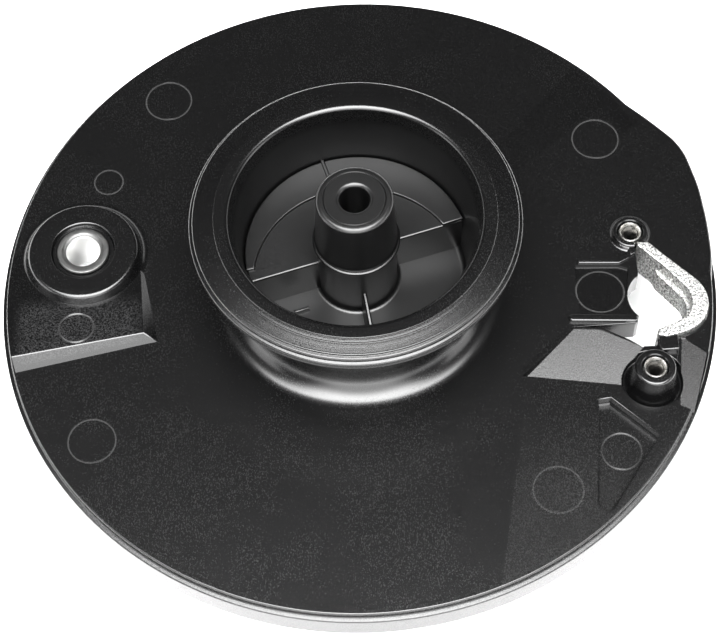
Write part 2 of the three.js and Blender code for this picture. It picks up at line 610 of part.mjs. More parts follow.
// ---------------------------------------------------------------- drum
function ropeDrum() {
  const bore = BUSH_OUT_R + GAP;
  const wallIn = GROOVE_R - GROOVE_WALL;
  const body = turned([[bore, DRUM_Z], [DRUM_R, DRUM_Z], [DRUM_R, GROOVE_Z], [GROOVE_R, GROOVE_Z],
    [GROOVE_R, GROOVE_Z + GROOVE_W], [DRUM_R, GROOVE_Z + GROOVE_W], [DRUM_R, DRUM_TOP], [wallIn, DRUM_TOP],
    [wallIn, DRUM_Z + DRUM_WEB_T], [DRUM_HUB_R, DRUM_Z + DRUM_WEB_T], [DRUM_HUB_R, SPRING_TOP],
    [bore, SPRING_TOP]], LARGE_SIDES);
  const bossTop = DRUM_TOP - DRUM_UPPER_T;
  const bosses = PAWL_ANGLES.map((deg) => moved(disc(PAWL_EYE_R, DRUM_Z, bossTop), ...at(PAWL_PIVOT_R, deg)));
  const hole = disc(PAWL_PIN_R + GAP, DRUM_Z - OVERCUT, bossTop + OVERCUT);
  const pinHoles = PAWL_ANGLES.map((deg) => moved(hole, ...at(PAWL_PIVOT_R, deg)));
  return cut(join(body, ...bosses), ...pinHoles, ropeHole());
}

// Cross hole in the groove's wall, through which the rope is knotted.
function ropeHole() {
  const length = 3 * GROOVE_WALL;
  const drill = new THREE.CylinderGeometry(ROPE_HOLE_R, ROPE_HOLE_R, length, 16).rotateZ(Math.PI / 2);
  const radius = GROOVE_R - GROOVE_WALL / 2;
  return spun(moved(toSolid(drill), radius, 0, GROOVE_Z + GROOVE_W / 2), ROPE_HOLE_ANGLE);
}

function drumBush() {
  return tube(BUSH_IN_R, BUSH_OUT_R, DRUM_Z, SPRING_TOP, 32);
}

// ---------------------------------------------------------------- pawls
function pawlPin(deg) {
  return moved(disc(PAWL_PIN_R, PAWL_Z - GAP / 2, DRUM_TOP - DRUM_UPPER_T), ...at(PAWL_PIVOT_R, deg));
}

// A pawl lying along the drum, its tooth leading when the drum turns clockwise from above.
function pawl(deg) {
  const outline = [...arc(0, 0, PAWL_EYE_R, -20, 200, 10), ...PAWL_ARM];
  const eye = disc(PAWL_PIN_R + GAP, PAWL_Z - OVERCUT, PAWL_TOP + OVERCUT);
  const body = cut(prism(outline, PAWL_Z, PAWL_TOP), eye);
  const peg = moved(disc(PEG_R, FRICTION_Z + GAP, PAWL_Z + OVERCUT, 16), ...PEG);
  return spun(moved(join(body, peg), PAWL_PIVOT_R, 0), deg);
}

// Small torsion spring round the pawl's pin, between the pawl and the drum.
function pawlSpring(deg) {
  const [z0, z1] = [PAWL_TOP + GAP + PAWL_WIRE_R, DRUM_Z - GAP - PAWL_WIRE_R];
  const turns = coil(PAWL_COIL_R, z0, z1, PAWL_COIL_TURNS);
  const leg = new THREE.Vector3(PAWL_COIL_R, -PAWL_LEG, z0);
  return spun(moved(wire([leg, ...turns], PAWL_WIRE_R), PAWL_PIVOT_R, 0), deg);
}

// Where the pawl's peg is on the friction plate, when the plate has turned by a share of its range.
function pegPlace(share) {
  const [s, c] = [Math.sin(rad(PAWL_SWING * share)), Math.cos(rad(PAWL_SWING * share))];
  const [x, y] = [PAWL_PIVOT_R + PEG[0] * c - PEG[1] * s, PEG[0] * s + PEG[1] * c];
  const angle = THREE.MathUtils.radToDeg(Math.atan2(y, x)) - FRICTION_TURN * share;
  return at(Math.hypot(x, y), angle);
}

// Stamped plate that drags on its spring, so that its cam slots push the pawls out.
function frictionPlate() {
  const plate = tube(SPINDLE_R + GAP, FRICTION_R, FRICTION_Z, FRICTION_Z + FRICTION_T, 48);
  const stations = Array.from({ length: 7 }, (_, i) => pegPlace(i / 6));
  const holes = stations.map(([x, y]) =>
    moved(disc(PEG_R + PEG_RUN, FRICTION_Z - OVERCUT, FRICTION_Z + FRICTION_T + OVERCUT, 12), x, y));
  const slot = join(...holes);
  return cut(plate, ...PAWL_ANGLES.map((deg) => spun(slot, deg)));
}

function frictionSpring() {
  const [z0, z1] = [PAWL_Z + FRICTION_WIRE_R, DRUM_Z - GAP - FRICTION_WIRE_R];
  return wire(coil(FRICTION_COIL_R, z0, z1, FRICTION_COIL_TURNS), FRICTION_WIRE_R);
}

// ---------------------------------------------------------------- assembly
const fixed = new THREE.Group();
fixed.add(
  mesh('housing', housing(), 'blackPlastic'),
  mesh('mount_bush', mountBush(), 'plated'),
  mesh('upper_insert', insert(UPPER_INSERT, PLATE_TOP + UPPER_BOSS_H), 'plated'),
  mesh('lower_insert', insert(LOWER_INSERT, PLATE_TOP + LOWER_BOSS_H), 'plated'),
  mesh('rope_guide', ropeGuide(), 'castMetal'),
  mesh('spindle', spindle(), 'plated'),
  mesh('spring_cassette', springCassette(), 'sheetSteel'),
  mesh('recoil_spring', recoilSpring(), 'springSteel'),
  mesh('spring_cover', springCover(), 'sheetSteel'),
  ...COVER_SCREW_ANGLES.map((deg, i) => mesh(`cover_screw_${i + 1}`, coverScrew(deg), 'plated')),
  mesh('thrust_washer', tube(SCREW_R + GAP, THRUST_R, THRUST_Z, THRUST_Z + THRUST_T, 32), 'sheetSteel'),
  mesh('lock_washer', lockWasher(), 'plated'),
  mesh('centre_screw', centreScrew(), 'plated'),
);

const drum = new THREE.Group();
drum.add(
  mesh('rope_drum', ropeDrum(), 'greyPlastic'),
  mesh('drum_bush', drumBush(), 'bronze'),
  mesh('friction_spring', frictionSpring(), 'springSteel'),
  mesh('friction_plate', frictionPlate(), 'sheetSteel'),
  ...PAWL_ANGLES.flatMap((deg, i) => [
    mesh(`pawl_pin_${i + 1}`, pawlPin(deg), 'plated'),
    mesh(`pawl_${i + 1}`, pawl(deg), 'sheetSteel'),
    mesh(`pawl_spring_${i + 1}`, pawlSpring(deg), 'springSteel'),
  ]),
);

const starter = new THREE.Group();
starter.add(fixed, drum);

export default starter;
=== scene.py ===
import math

import bmesh
import bpy
from mathutils import Matrix, Vector


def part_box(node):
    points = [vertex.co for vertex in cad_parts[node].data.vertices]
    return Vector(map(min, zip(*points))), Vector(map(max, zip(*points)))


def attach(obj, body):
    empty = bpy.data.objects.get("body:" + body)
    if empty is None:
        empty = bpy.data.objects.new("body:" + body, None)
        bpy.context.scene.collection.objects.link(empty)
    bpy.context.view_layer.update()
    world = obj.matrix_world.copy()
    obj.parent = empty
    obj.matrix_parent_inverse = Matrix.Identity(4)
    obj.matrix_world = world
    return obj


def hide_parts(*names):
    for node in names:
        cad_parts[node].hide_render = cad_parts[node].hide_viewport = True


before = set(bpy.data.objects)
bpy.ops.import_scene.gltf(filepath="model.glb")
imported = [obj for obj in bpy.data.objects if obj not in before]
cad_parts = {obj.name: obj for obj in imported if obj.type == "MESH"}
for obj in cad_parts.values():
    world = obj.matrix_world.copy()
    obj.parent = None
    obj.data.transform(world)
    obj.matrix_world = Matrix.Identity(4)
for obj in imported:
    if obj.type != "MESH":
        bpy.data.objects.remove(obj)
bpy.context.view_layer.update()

MM = 0.001


def span(node):
    """Lowest and highest corner of a CAD node, in millimetres."""
    low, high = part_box(node)
    return low / MM, high / MM


def middle(node):
    low, high = span(node)
    return (low.x + high.x) / 2, (low.y + high.y) / 2


# ---- sizes and places
HOUSING_LOW, HOUSING_HIGH = span("housing")
PLATE_R = (HOUSING_HIGH.x - HOUSING_LOW.x) / 2
BOSS_H = 39.0
TOP = HOUSING_HIGH.z - BOSS_H  # the plate's top face
PLATE_T = 3.0
UNDERSIDE = TOP - PLATE_T
RIM_H = 9.0
RIM_T = 2.5
WELL_R = PLATE_R - 41.0
WELL_T = 2.5

NECK_R = 29.5
NECK_FILLET = 7.0
CUP_R = 27.0
FLANGE_R = 40.0
FLANGE_H = 33.0
CONE_R = 34.0  # where the flange's flat top turns into its brushed cone
CUP_FLOOR = 3.0
SHELF_H = 15.0
SHELF_ANGLE = 15.8
BOSS_R = 9.3
BOSS_FOOT_R = 10.7
BOSS_COLLAR_H = 22.0
BORE_R = 3.6
SOCKET_DEPTH = 16.0
SOCKET_WALL = 3.5

BUSH = middle("mount_bush")
PAD_H = 4.0
PAD_R = 12.8
PAD_FOOT_R = 17.0
COUNTERBORE_R = 8.0
COUNTERBORE_D = 1.3

GUIDE_LOW, GUIDE_HIGH = span("rope_guide")
EXIT = (GUIDE_HIGH.x - 11.8, GUIDE_HIGH.y - 16.2)  # middle of the rope exit
UPPER = middle("upper_insert")
LOWER = middle("lower_insert")
UPPER_TOP = span("upper_insert")[1].z
LOWER_TOP = span("lower_insert")[1].z
INSERT_R = 3.0
INSERT_CLEAR = 0.3
THREAD_R = 1.95

SPINDLE_R = span("spindle")[1].x
RUNNING_FIT = 0.3
CASSETTE_R = span("spring_cassette")[1].x
COVER_LOW, COVER_HIGH = span("spring_cover")
SCREW_LOW, SCREW_HIGH = span("cover_screw_1")
POST_R = math.hypot(*middle("cover_screw_1"))
POST_ANGLES = [75, 195, 315]

DRUM_LOW, DRUM_HIGH = span("rope_drum")
DRUM_R = DRUM_HIGH.x
GROOVE_R = DRUM_R - 13.0
GROOVE_LOW = DRUM_LOW.z + 1.6
GROOVE_HIGH = GROOVE_LOW + 6.0
HUB_R = 11.5
PIVOT_R = math.hypot(*middle("pawl_pin_1"))
PAWL_TURNS = [90, 270]
PEG = (-1.0, -7.0)  # a pawl's peg, from its pivot
SWING = 35.0
FRICTION_TURN = 30.0

# Round ejector marks, as (x, y, radius).
PLATE_MARKS = [
    (-63.7, 33.9, 3.7), (-48.2, 58.9, 6.0), (-66.3, -40.9, 5.8), (63.7, 40.2, 6.0), (45.1, -59.6, 6.0)]
PAD_MARK = (-70.6, -10.6, 4.3)
POCKET_MARK = (61.5, -49, 4.8)
PLATFORM_MARK = (60.4, -5.8, 6.0)

CAMERA_PLACE = (-0.05, -256.3)
CAMERA_HEIGHT = TOP + 434.3
CAMERA_ELEVATION = 60.469
CAMERA_ROLL = -2.73

FINE = 192  # sides of a large turned face
MEDIUM = 96
SMALL = 48
SHARP = 0.0001  # the rounding of an edge that stays sharp


# ---- outlines
def at(radius, degrees):
    angle = math.radians(degrees)
    return radius * math.cos(angle), radius * math.sin(angle)


def arc(x, y, radius, start, end, steps=8):
    """Points of an arc round (x, y), from one angle to another in degrees."""
    turns = [start + (end - start) * i / steps for i in range(steps + 1)]
    return [(x + at(radius, turn)[0], y + at(radius, turn)[1]) for turn in turns]


def placed(outline, centre):
    return [(x + centre[0], y + centre[1]) for x, y in outline]


def sector(inner, outer, first, last, steps=40):
    """Part of a ring round the axis, between two angles."""
    return arc(0, 0, outer, first, last, steps) + arc(0, 0, inner, last, first, steps)


def oblong(start, end, half):
    """A rectangle along the X axis, of a given half width."""
    return [(start, -half), (end, -half), (end, half), (start, half)]


def offset_run(points, distance):
    """An open run of corners moved to its left by a distance."""
    result = []
    for i, (x, y) in enumerate(points):
        (ax, ay), (bx, by) = points[max(i - 1, 0)], points[min(i + 1, len(points) - 1)]
        length = math.hypot(bx - ax, by - ay)
        result.append((x - distance * (by - ay) / length, y + distance * (bx - ax) / length))
    return result


def area(outline):
    following = outline[1:] + outline[:1]
    return sum(x0 * y1 - x1 * y0 for (x0, y0), (x1, y1) in zip(outline, following)) / 2


def grown(outline, distance):
    """A closed anticlockwise outline moved outwards by a distance."""
    points = [Vector(point) for point in outline]
    result = []
    for before, here, after in zip(points[-1:] + points[:-1], points, points[1:] + points[:1]):
        into, out = (here - before).normalized(), (after - here).normalized()
        normal_in, normal_out = Vector((into.y, -into.x)), Vector((out.y, -out.x))
        bisector = normal_in + normal_out
        share = max(bisector.dot(bisector) / 2, 0.35)
        result.append(tuple(here + bisector * (distance / share)))
    return result


def softened(outline, radius, steps=4):
    """A closed outline with each corner rounded, by no more than its shorter side allows."""
    points = [Vector(point) for point in outline]
    result = []
    for before, here, after in zip(points[-1:] + points[:-1], points, points[1:] + points[:1]):
        reach = min(radius, (before - here).length * 0.45, (after - here).length * 0.45)
        first = here + (before - here).normalized() * reach
        last = here + (after - here).normalized() * reach
        for i in range(steps + 1):
            t = i / steps
            result.append(tuple(first * (1 - t) ** 2 + here * 2 * t * (1 - t) + last * t * t))
    return result


def eased(radius, steps=4):
    """(inset, drop) pairs down a quarter-round edge, from its wall to its top face."""
    turns = [math.radians(90 * i / steps) for i in range(steps + 1)]
    return [(radius * (1 - math.cos(turn)), radius * (1 - math.sin(turn))) for turn in turns]


# ---- meshes
def solid(name, points, faces):
    """A closed mesh object from points in millimetres, with its faces pointing outwards."""
    data = bpy.data.meshes.new(name)
    data.from_pydata([Vector(point) * MM for point in points], [], faces)
    work = bmesh.new()
    work.from_mesh(data)
    bmesh.ops.remove_doubles(work, verts=work.verts, dist=1e-7)
    bmesh.ops.recalc_face_normals(work, faces=work.faces)
    work.to_mesh(data)
    work.free()
    made = bpy.data.objects.new(name, data)
    bpy.context.scene.collection.objects.link(made)
    return made


def lathe(name, profile, sides=MEDIUM, centre=(0, 0)):
    """A solid turned round a vertical axis from a closed run of (radius, height) corners."""
    points, rows = [], []
    for radius, height in profile:
        count = sides if radius > 1e-6 else 1
        rows.append([len(points) + i for i in range(count)])
        for i in range(count):
            x, y = at(radius, 360 * i / sides)
            points.append((x + centre[0], y + centre[1], height))
    faces = []
    for low, high in zip(rows, rows[1:] + rows[:1]):
        for i in range(sides):
            j = (i + 1) % sides
            corners = [low[i % len(low)], low[j % len(low)], high[j % len(high)], high[i % len(high)]]
            corners = list(dict.fromkeys(corners))
            if len(corners) > 2:
                faces.append(corners)
    return solid(name, points, faces)


def rod(name, radius, low, high, centre=(0, 0), sides=SMALL):
    """A plain round bar, or the cutter of a plain bore."""
    return lathe(name, [(0, low), (radius, low), (radius, high), (0, high)], sides, centre)


def loft(name, rings):
    """A solid through rings of (x, y, z) points, closed by a flat face at each end."""
    count = len(rings[0])
    points = [point for ring in rings for point in ring]
    faces = [list(range(count)), list(range(len(points) - count, len(points)))]
    for row in range(len(rings) - 1):
        for i in range(count):
            j = (i + 1) % count
            faces.append([row * count + i, row * count + j, (row + 1) * count + j, (row + 1) * count + i])
    return solid(name, points, faces)


def level(outline, height):
    return [(x, y, height) for x, y in outline]


def block(name, outline, low, high, edge=0.3, foot=0.0):
    """A prism with a rounded top edge, and a rounded lower one if foot is given."""
    outline = outline if area(outline) > 0 else outline[::-1]
    rings = [level(grown(outline, -inset), low + drop) for inset,
             drop in reversed(eased(foot))] if foot else []
    rings = rings or [level(outline, low)]
    rings += [level(grown(outline, -inset), high - drop) for inset, drop in eased(edge)]
    return loft(name, rings)


def hollow(name, outline, floor, mouth, edge=0.3, corner=0.0):
    """A cutter for a hole or pocket whose mouth is rounded where it meets the face at height mouth."""
    outline = outline if area(outline) > 0 else outline[::-1]
    rings = [level(grown(outline, -corner), floor)] if corner else []
    rings.append(level(outline, floor + corner))
    rings += [level(grown(outline, inset), mouth - drop) for inset, drop in eased(edge)]
    rings.append(level(grown(outline, edge), mouth + 2))
    return loft(name, rings)


def shift(centre, height=0.0):
    return Matrix.Translation(Vector((centre[0], centre[1], height)) * MM)


def rotation(degrees, axis="Z"):
    return Matrix.Rotation(math.radians(degrees), 4, axis)


def plain_mesh(made):
    """Turns an object's modifiers into its mesh."""
    graph = bpy.context.evaluated_depsgraph_get()
    data = bpy.data.meshes.new_from_object(made.evaluated_get(graph))
    made.modifiers.clear()
    made.data = data
    return made


def combine(base, tools, operation):
    for tool in tools:
        step = base.modifiers.new(tool.name, "BOOLEAN")
        step.operation = operation
        step.object = tool
        step.solver = "MANIFOLD"
    plain_mesh(base)
    for tool in tools:
        bpy.data.objects.remove(tool)
    return base


def joined(base, *tools):
    return combine(base, tools, "UNION")


def cut(base, *tools):
    return combine(base, tools, "DIFFERENCE")


def finished(made, body, look, nodes=None, crease=32):
    """Shades a piece, gives it its finish and puts it on its body, in place of the node it is named after."""
    made.data.materials.clear()
    made.data.materials.append(look)
    for face in made.data.polygons:
        face.use_smooth = True
        face.material_index = 0
    made.data.set_sharp_from_angle(angle=math.radians(crease))
    weighted = made.modifiers.new("weighted", "WEIGHTED_NORMAL")
    weighted.keep_sharp = True
    plain_mesh(made)
    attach(made, body)
    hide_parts(*(nodes or [made.name.removesuffix("_visual")]))


# ---- node graphs
class Value:
    """A node's output that can be used in a sum."""

    def __init__(self, graph, socket):
        self.graph = graph
        self.socket = socket

    def math(self, operation, *terms):
        return self.graph.node("ShaderNodeMath", {"operation": operation}, *terms)

    def __add__(self, other):
        return self.math("ADD", self, other)

    def __sub__(self, other):
        return self.math("SUBTRACT", self, other)

    def __rsub__(self, other):
        return self.math("SUBTRACT", other, self)

    def __mul__(self, other):
        return self.math("MULTIPLY", self, other)

    def __truediv__(self, other):
        return self.math("DIVIDE", self, other)

    def __pow__(self, other):
        return self.math("POWER", self, other)

    __radd__ = __add__
    __rmul__ = __mul__

    def over(self, low, high):
        """0 below low, 1 above high, and smooth between them."""
        limits = {"From Min": low, "From Max": high}
        return self.graph.node("ShaderNodeMapRange", {"interpolation_type": "SMOOTHSTEP"}, self, **limits)


class Graph:
    """Builds nodes: settings first, then the values or links of the inputs."""

    def __init__(self, tree):
        self.tree = tree

    def node(self, kind, settings=None, *inputs, out=0, **named):
        made = self.tree.nodes.new(kind)
        for key, value in (settings or {}).items():
            setattr(made, key, value)
        for key, value in [*enumerate(inputs), *named.items()]:
            socket = made.inputs[key]
            if isinstance(value, Value):
                self.tree.links.new(value.socket, socket)
            else:
                socket.default_value = value
        return Value(self, made.outputs[out]) if len(made.outputs) else None

    def split(self, vector):
        parts = self.node("ShaderNodeSeparateXYZ", None, vector)
        return [Value(self, output) for output in parts.socket.node.outputs]


class Look(Graph):
    """A material on Object coordinates, in metres."""

    def __init__(self, name):
        self.material = bpy.data.materials.new(name)
        self.material.use_nodes = True
        super().__init__(self.material.node_tree)
        self.tree.nodes.clear()
        self.place = self.node("ShaderNodeTexCoord", out="Object")

    def radius(self, centre=(0, 0)):
        x, y, _ = self.split(self.place)
        x, y = x - centre[0] * MM, y - centre[1] * MM
        return (x * x + y * y) ** 0.5

    def noise(self, size, detail=3.0, rough=0.55, stretch=(1, 1, 1)):
        """Cloudy noise whose features measure about size, in millimetres."""
        scale = [share / (size * MM) for share in stretch]
        spread = self.node("ShaderNodeVectorMath", {"operation": "MULTIPLY"}, self.place, scale)
        return self.node("ShaderNodeTexNoise", None, spread, Scale=1.0, Detail=detail, Roughness=rough)

    def cells(self, size):
        """Distance from the middles of cells about size across, in millimetres."""
        return self.node("ShaderNodeTexVoronoi", None, self.place, Scale=1 / (size * MM))

    def rings(self, radius, scale):
        """Fine turning marks, which vary with the radius alone."""
        return self.node("ShaderNodeTexNoise", {"noise_dimensions": "1D"}, W=radius, Scale=scale, Detail=3.0)

    def blend(self, share, first, second):
        """A colour that goes from the first to the second as share goes from 0 to 1."""
        made = self.tree.nodes.new("ShaderNodeMix")
        made.data_type = "RGBA"
        for index, value in ((0, share), (6, first), (7, second)):
            if isinstance(value, Value):
                self.tree.links.new(value.socket, made.inputs[index])
            else:
                made.inputs[index].default_value = (*value, 1)
        return Value(self, made.outputs[2])

    def bump(self, height, depth, normal=None):
        """Depth is the height of the relief, in millimetres."""
        extra = {"Normal": normal} if normal else {}
        return self.node("ShaderNodeBump", None, Strength=1.0, Distance=depth * MM, Height=height, **extra)

    def done(self, **inputs):
        named = {key.replace("_", " "): value for key, value in inputs.items()}
        shader = self.node("ShaderNodeBsdfPrincipled", None, **named)
        self.node("ShaderNodeOutputMaterial", None, shader)
        return self.material


# ---- finishes
def black_plastic():
    """Glass-filled black moulding with a spark-eroded grain and a brushed flange."""
    look = Look("black_plastic")
    x, y, z = look.split(look.place)
    radius = look.radius()
    height = z / MM
    flange = TOP + FLANGE_H
    fine = look.noise(0.4, detail=3, rough=0.65)
    sand = look.noise(0.3, detail=4, rough=0.7, stretch=(1.0, 0.6, 1.0))
    patches = look.noise(30, detail=3)

    # Shares of the surface: towards the front, the corner right of a mould line, the plate's face,
    # the flange's cone, the cup, and the flat in front of the bolt pad.
    forward = 0.0 - y
    front = forward.over(0.005, 0.085)
    right = (x - 0.034 + (forward - 0.0618) * 0.2).over(-0.0003, 0.0003) * forward.over(0.034, 0.062)
    plate = radius.over((NECK_R + 4.5) * MM, (NECK_R + 8) * MM) * (1 - height.over(TOP + 4.5, TOP + 6))
    cone = radius.over((CONE_R - 0.2) * MM, (CONE_R + 0.1) * MM) * height.over(flange - 4, flange - 3.5)
    in_cup = (1 - radius.over((CUP_R + 1) * MM, (CUP_R + 4) * MM)) * height.over(TOP + 1, TOP + 2)
    pad_flat = (x + 0.087).over(0, 0.004) * (1 - (x + 0.058).over(0, 0.006))
    pad_flat = pad_flat * (1 - (y + 0.006).over(0, 0.006)) * (y + 0.022).over(0, 0.004)
    pad_flat = pad_flat * height.over(TOP + 0.8, TOP + 1.4)

    flecks = sand.over(0.5, 0.62) * (0.4 + patches.over(0.4, 0.6) * 0.6)
    # Share of the lighter tone: the plastic's own flecks and fine grain, plus a painted sheen that makes the
    # flecks lighter towards the front.
    tone_share_with_painted_light = flecks * (0.1 + front * 0.35) + fine.over(0.4, 0.65) * 0.15
    tone = look.blend(tone_share_with_painted_light, (0.0009, 0.0009, 0.00095), (0.0075, 0.0075, 0.0076))
    tone = look.blend(right * 0.2, tone, (0.006, 0.006, 0.0061))
    # Painted highlight: a thin lighter ring round each mark on the plate, for the light that the mark's edge
    # catches.
    for mark_x, mark_y, size in [*PLATE_MARKS, PAD_MARK, POCKET_MARK, PLATFORM_MARK]:
        away = look.radius((mark_x, mark_y)) - size * MM
        line = 1 - (away * away).over((0.08 * MM) ** 2, (0.3 * MM) ** 2)
        tone = look.blend(line * plate * 0.35, tone, (0.07, 0.07, 0.07))
    # Painted sheen: lighter speckle on the flat in front of the bolt pad, for the light that this face
    # catches.
    tone = look.blend(pad_flat * fine.over(0.42, 0.6) * 0.55, tone, (0.03, 0.03, 0.0305))
    # Painted shade: the cup's walls and floor are darkened, for the shade inside the cup.
    tone = look.blend(in_cup * 0.8, tone, (0.0006, 0.0006, 0.00065))

    relief = fine * 0.5 + sand * (0.3 + front * 0.5 + patches * 0.2)
    grain = look.bump(relief * (0.03 + plate * (0.4 + front * 0.25)), 0.06)
    bumped = look.bump(look.rings(radius, 4200.0) * cone, 0.03, grain)
    rough = 0.21 + flecks * 0.07 + fine.over(0.3, 0.8) * 0.05 + right * 0.03 + in_cup * 0.1
    return look.done(Base_Color=tone, Roughness=rough, Normal=bumped, IOR=1.6)


def cast_metal():
    look = Look("cast_metal")
    blobs = look.cells(0.75)
    pits = look.noise(0.5, detail=4, rough=0.7)
    broad = look.noise(7, detail=2)
    dark = pits.over(0.46, 0.56) * 0.75 + blobs.over(0.35, 0.6) * 0.25
    tone = look.blend(dark, (0.93, 0.93, 0.91), (0.07, 0.07, 0.069))
    tone = look.blend(broad.over(0.4, 0.7) * 0.15, tone, (0.4, 0.4, 0.39))
    bumped = look.bump(pits * 0.7 + blobs * 0.4, 0.13)
    return look.done(Base_Color=tone, Roughness=0.36 + dark * 0.2, Metallic=1.0, Normal=bumped)


def turned_metal(name, light, dark, centre=(0, 0), rough=0.26, depth=0.012, bore=0.0,
                 inside=(0.96, 0.96, 0.95)):
    """Metal with fine turning marks round a vertical axis, and painted light inside the bore: a painted
    highlight where the inside tone is pale, painted shade where it is dark.
    """
    look = Look(name)
    radius = look.radius(centre)
    stains = look.noise(3.2, detail=3)
    scuffs = look.noise(0.8, detail=4, rough=0.7)
    tone = look.blend(stains.over(0.35, 0.75) * 0.6 + scuffs.over(0.55, 0.8) * 0.3, light, dark)
    bumped = look.bump(look.rings(radius, 6000.0) * 0.7 + scuffs * 0.4, depth)
    # Painted light in the bore: the inside tone is pale for a painted highlight on the bore's wall, dark for
    # painted shade down a threaded bore.
    tone_share_with_painted_light = 1 - radius.over(bore * MM, (bore + 0.1) * MM)
    tone = look.blend(tone_share_with_painted_light * 0.95, tone, inside)
    roughness = rough + scuffs.over(0.4, 0.8) * 0.18 * (1 - tone_share_with_painted_light)
    return look.done(Base_Color=tone, Roughness=roughness, Metallic=1.0, Normal=bumped)


def rolled_metal(name, light, dark, along=(0.08, 1, 1), rough=0.34):
    """Sheet metal with rolling marks along one direction."""
    look = Look(name)
    streaks = look.noise(0.5, detail=4, stretch=along)
    stains = look.noise(9, detail=3)
    scuffs = look.noise(0.7, detail=4, rough=0.7)
    tone = look.blend(streaks.over(0.3, 0.7) * 0.5 + stains.over(0.4, 0.7) * 0.4, light, dark)
    bumped = look.bump(streaks + scuffs * 0.4, 0.012)
    wear = streaks.over(0.35, 0.75) * 0.12 + stains * 0.1
    return look.done(Base_Color=tone, Roughness=rough + wear, Metallic=1.0, Normal=bumped)


def porous_metal(name, light, dark, rough=0.48):
    """Pressed and sintered metal, with fine pores."""
    look = Look(name)
    pores = look.cells(0.55)
    cloud = look.noise(1.6, detail=4)
    open_pores = 1 - pores.over(0.08, 0.3)
    tone = look.blend(open_pores * 0.7 + cloud.over(0.4, 0.7) * 0.3, light, dark)
    bumped = look.bump(cloud * 0.4 - open_pores, 0.05)
    return look.done(Base_Color=tone, Roughness=rough + open_pores * 0.25, Metallic=0.95, Normal=bumped)


def grey_plastic():
    look = Look("grey_plastic")
    grain = look.noise(0.5, detail=4)
    clouds = look.noise(11, detail=3)
    scuffs = look.noise(1.4, detail=5, rough=0.7, stretch=(1, 0.3, 1))
    tone = look.blend(clouds.over(0.3, 0.7), (0.034, 0.036, 0.041), (0.05, 0.053, 0.058))
    tone = look.blend(scuffs.over(0.6, 0.75) * 0.5, tone, (0.085, 0.088, 0.095))
    bumped = look.bump(grain * 0.7 + scuffs * 0.3, 0.03)
    return look.done(Base_Color=tone, Roughness=0.4 + scuffs.over(0.5, 0.75) * 0.15, Normal=bumped)


BLACK = black_plastic()
GREY = grey_plastic()
CAST = cast_metal()
# The bush's bore keeps the default near-white inside tone: a painted highlight on the bore's wall.
BUSH_STEEL = turned_metal("bush_steel", (0.13, 0.13, 0.128), (0.07, 0.07, 0.069), BUSH, 0.42, 0.01, 4.3)
INSERT_TONES = (0.7, 0.69, 0.66), (0.42, 0.41, 0.39)
# Painted shade: the inserts' threaded bores are painted near-black.
THREAD = {"bore": THREAD_R + 0.1, "inside": (0.06, 0.058, 0.055)}
UPPER_STEEL = turned_metal("upper_insert_steel", *INSERT_TONES, UPPER, **THREAD)
LOWER_STEEL = turned_metal("lower_insert_steel", *INSERT_TONES, LOWER, **THREAD)
PLATED = turned_metal("plated_steel", (0.68, 0.68, 0.66), (0.45, 0.45, 0.44))
SHEET = rolled_metal("sheet_steel", (0.56, 0.57, 0.59), (0.36, 0.37, 0.39))
SPRING = rolled_metal("spring_steel", (0.2, 0.215, 0.26), (0.11, 0.115, 0.13), (1, 1, 0.1), 0.28)
SINTERED = porous_metal("sintered_steel", (0.3, 0.3, 0.31), (0.12, 0.12, 0.125))
BRONZE = porous_metal("sintered_bronze", (0.52, 0.35, 0.17), (0.24, 0.15, 0.07), 0.4)


# ---- repeating shapes
def node_group(name, inputs):
    """An empty geometry tree with named inputs, given as (name, kind)."""
    tree = bpy.data.node_groups.new(name, "GeometryNodeTree")
    for title, kind in inputs:
        tree.interface.new_socket(title, in_out="INPUT", socket_type=f"NodeSocket{kind}")
    tree.interface.new_socket("Geometry", in_out="OUTPUT", socket_type="NodeSocketGeometry")
    graph = Graph(tree)
    source = tree.nodes.new("NodeGroupInput")
    return graph, {socket.name: Value(graph, socket) for socket in source.outputs if socket.name}


def end_group(graph, geometry, material):
    """The tree's end: real geometry with its material."""
    real = graph.node("GeometryNodeRealizeInstances", None, geometry)
    dressed = graph.node("GeometryNodeSetMaterial", None, real, Material=material)
    graph.node("NodeGroupOutput", None, dressed)
    return graph.tree


def polar_tree():
    """Copies of an item round the Z axis."""
    graph, given = node_group("polar", [
        ("Item", "Object"), ("Count", "Int"), ("Radius", "Float"),
        ("First", "Float"), ("Step", "Float"), ("Material", "Material")])
    index = graph.node("GeometryNodeInputIndex")
    angle = given["First"] + given["Step"] * index
    place = graph.node("ShaderNodeCombineXYZ", None, given["Radius"] * angle.math("COSINE", angle),
                       given["Radius"] * angle.math("SINE", angle), 0.0)
    points = graph.node("GeometryNodePoints", None, Count=given["Count"], Position=place)
    item = graph.node("GeometryNodeObjectInfo", None, given["Item"], out="Geometry")
    turn = graph.node("ShaderNodeCombineXYZ", None, 0.0, 0.0, angle)
    copies = graph.node("GeometryNodeInstanceOnPoints", None, Points=points, Instance=item, Rotation=turn)
    return end_group(graph, copies, given["Material"])


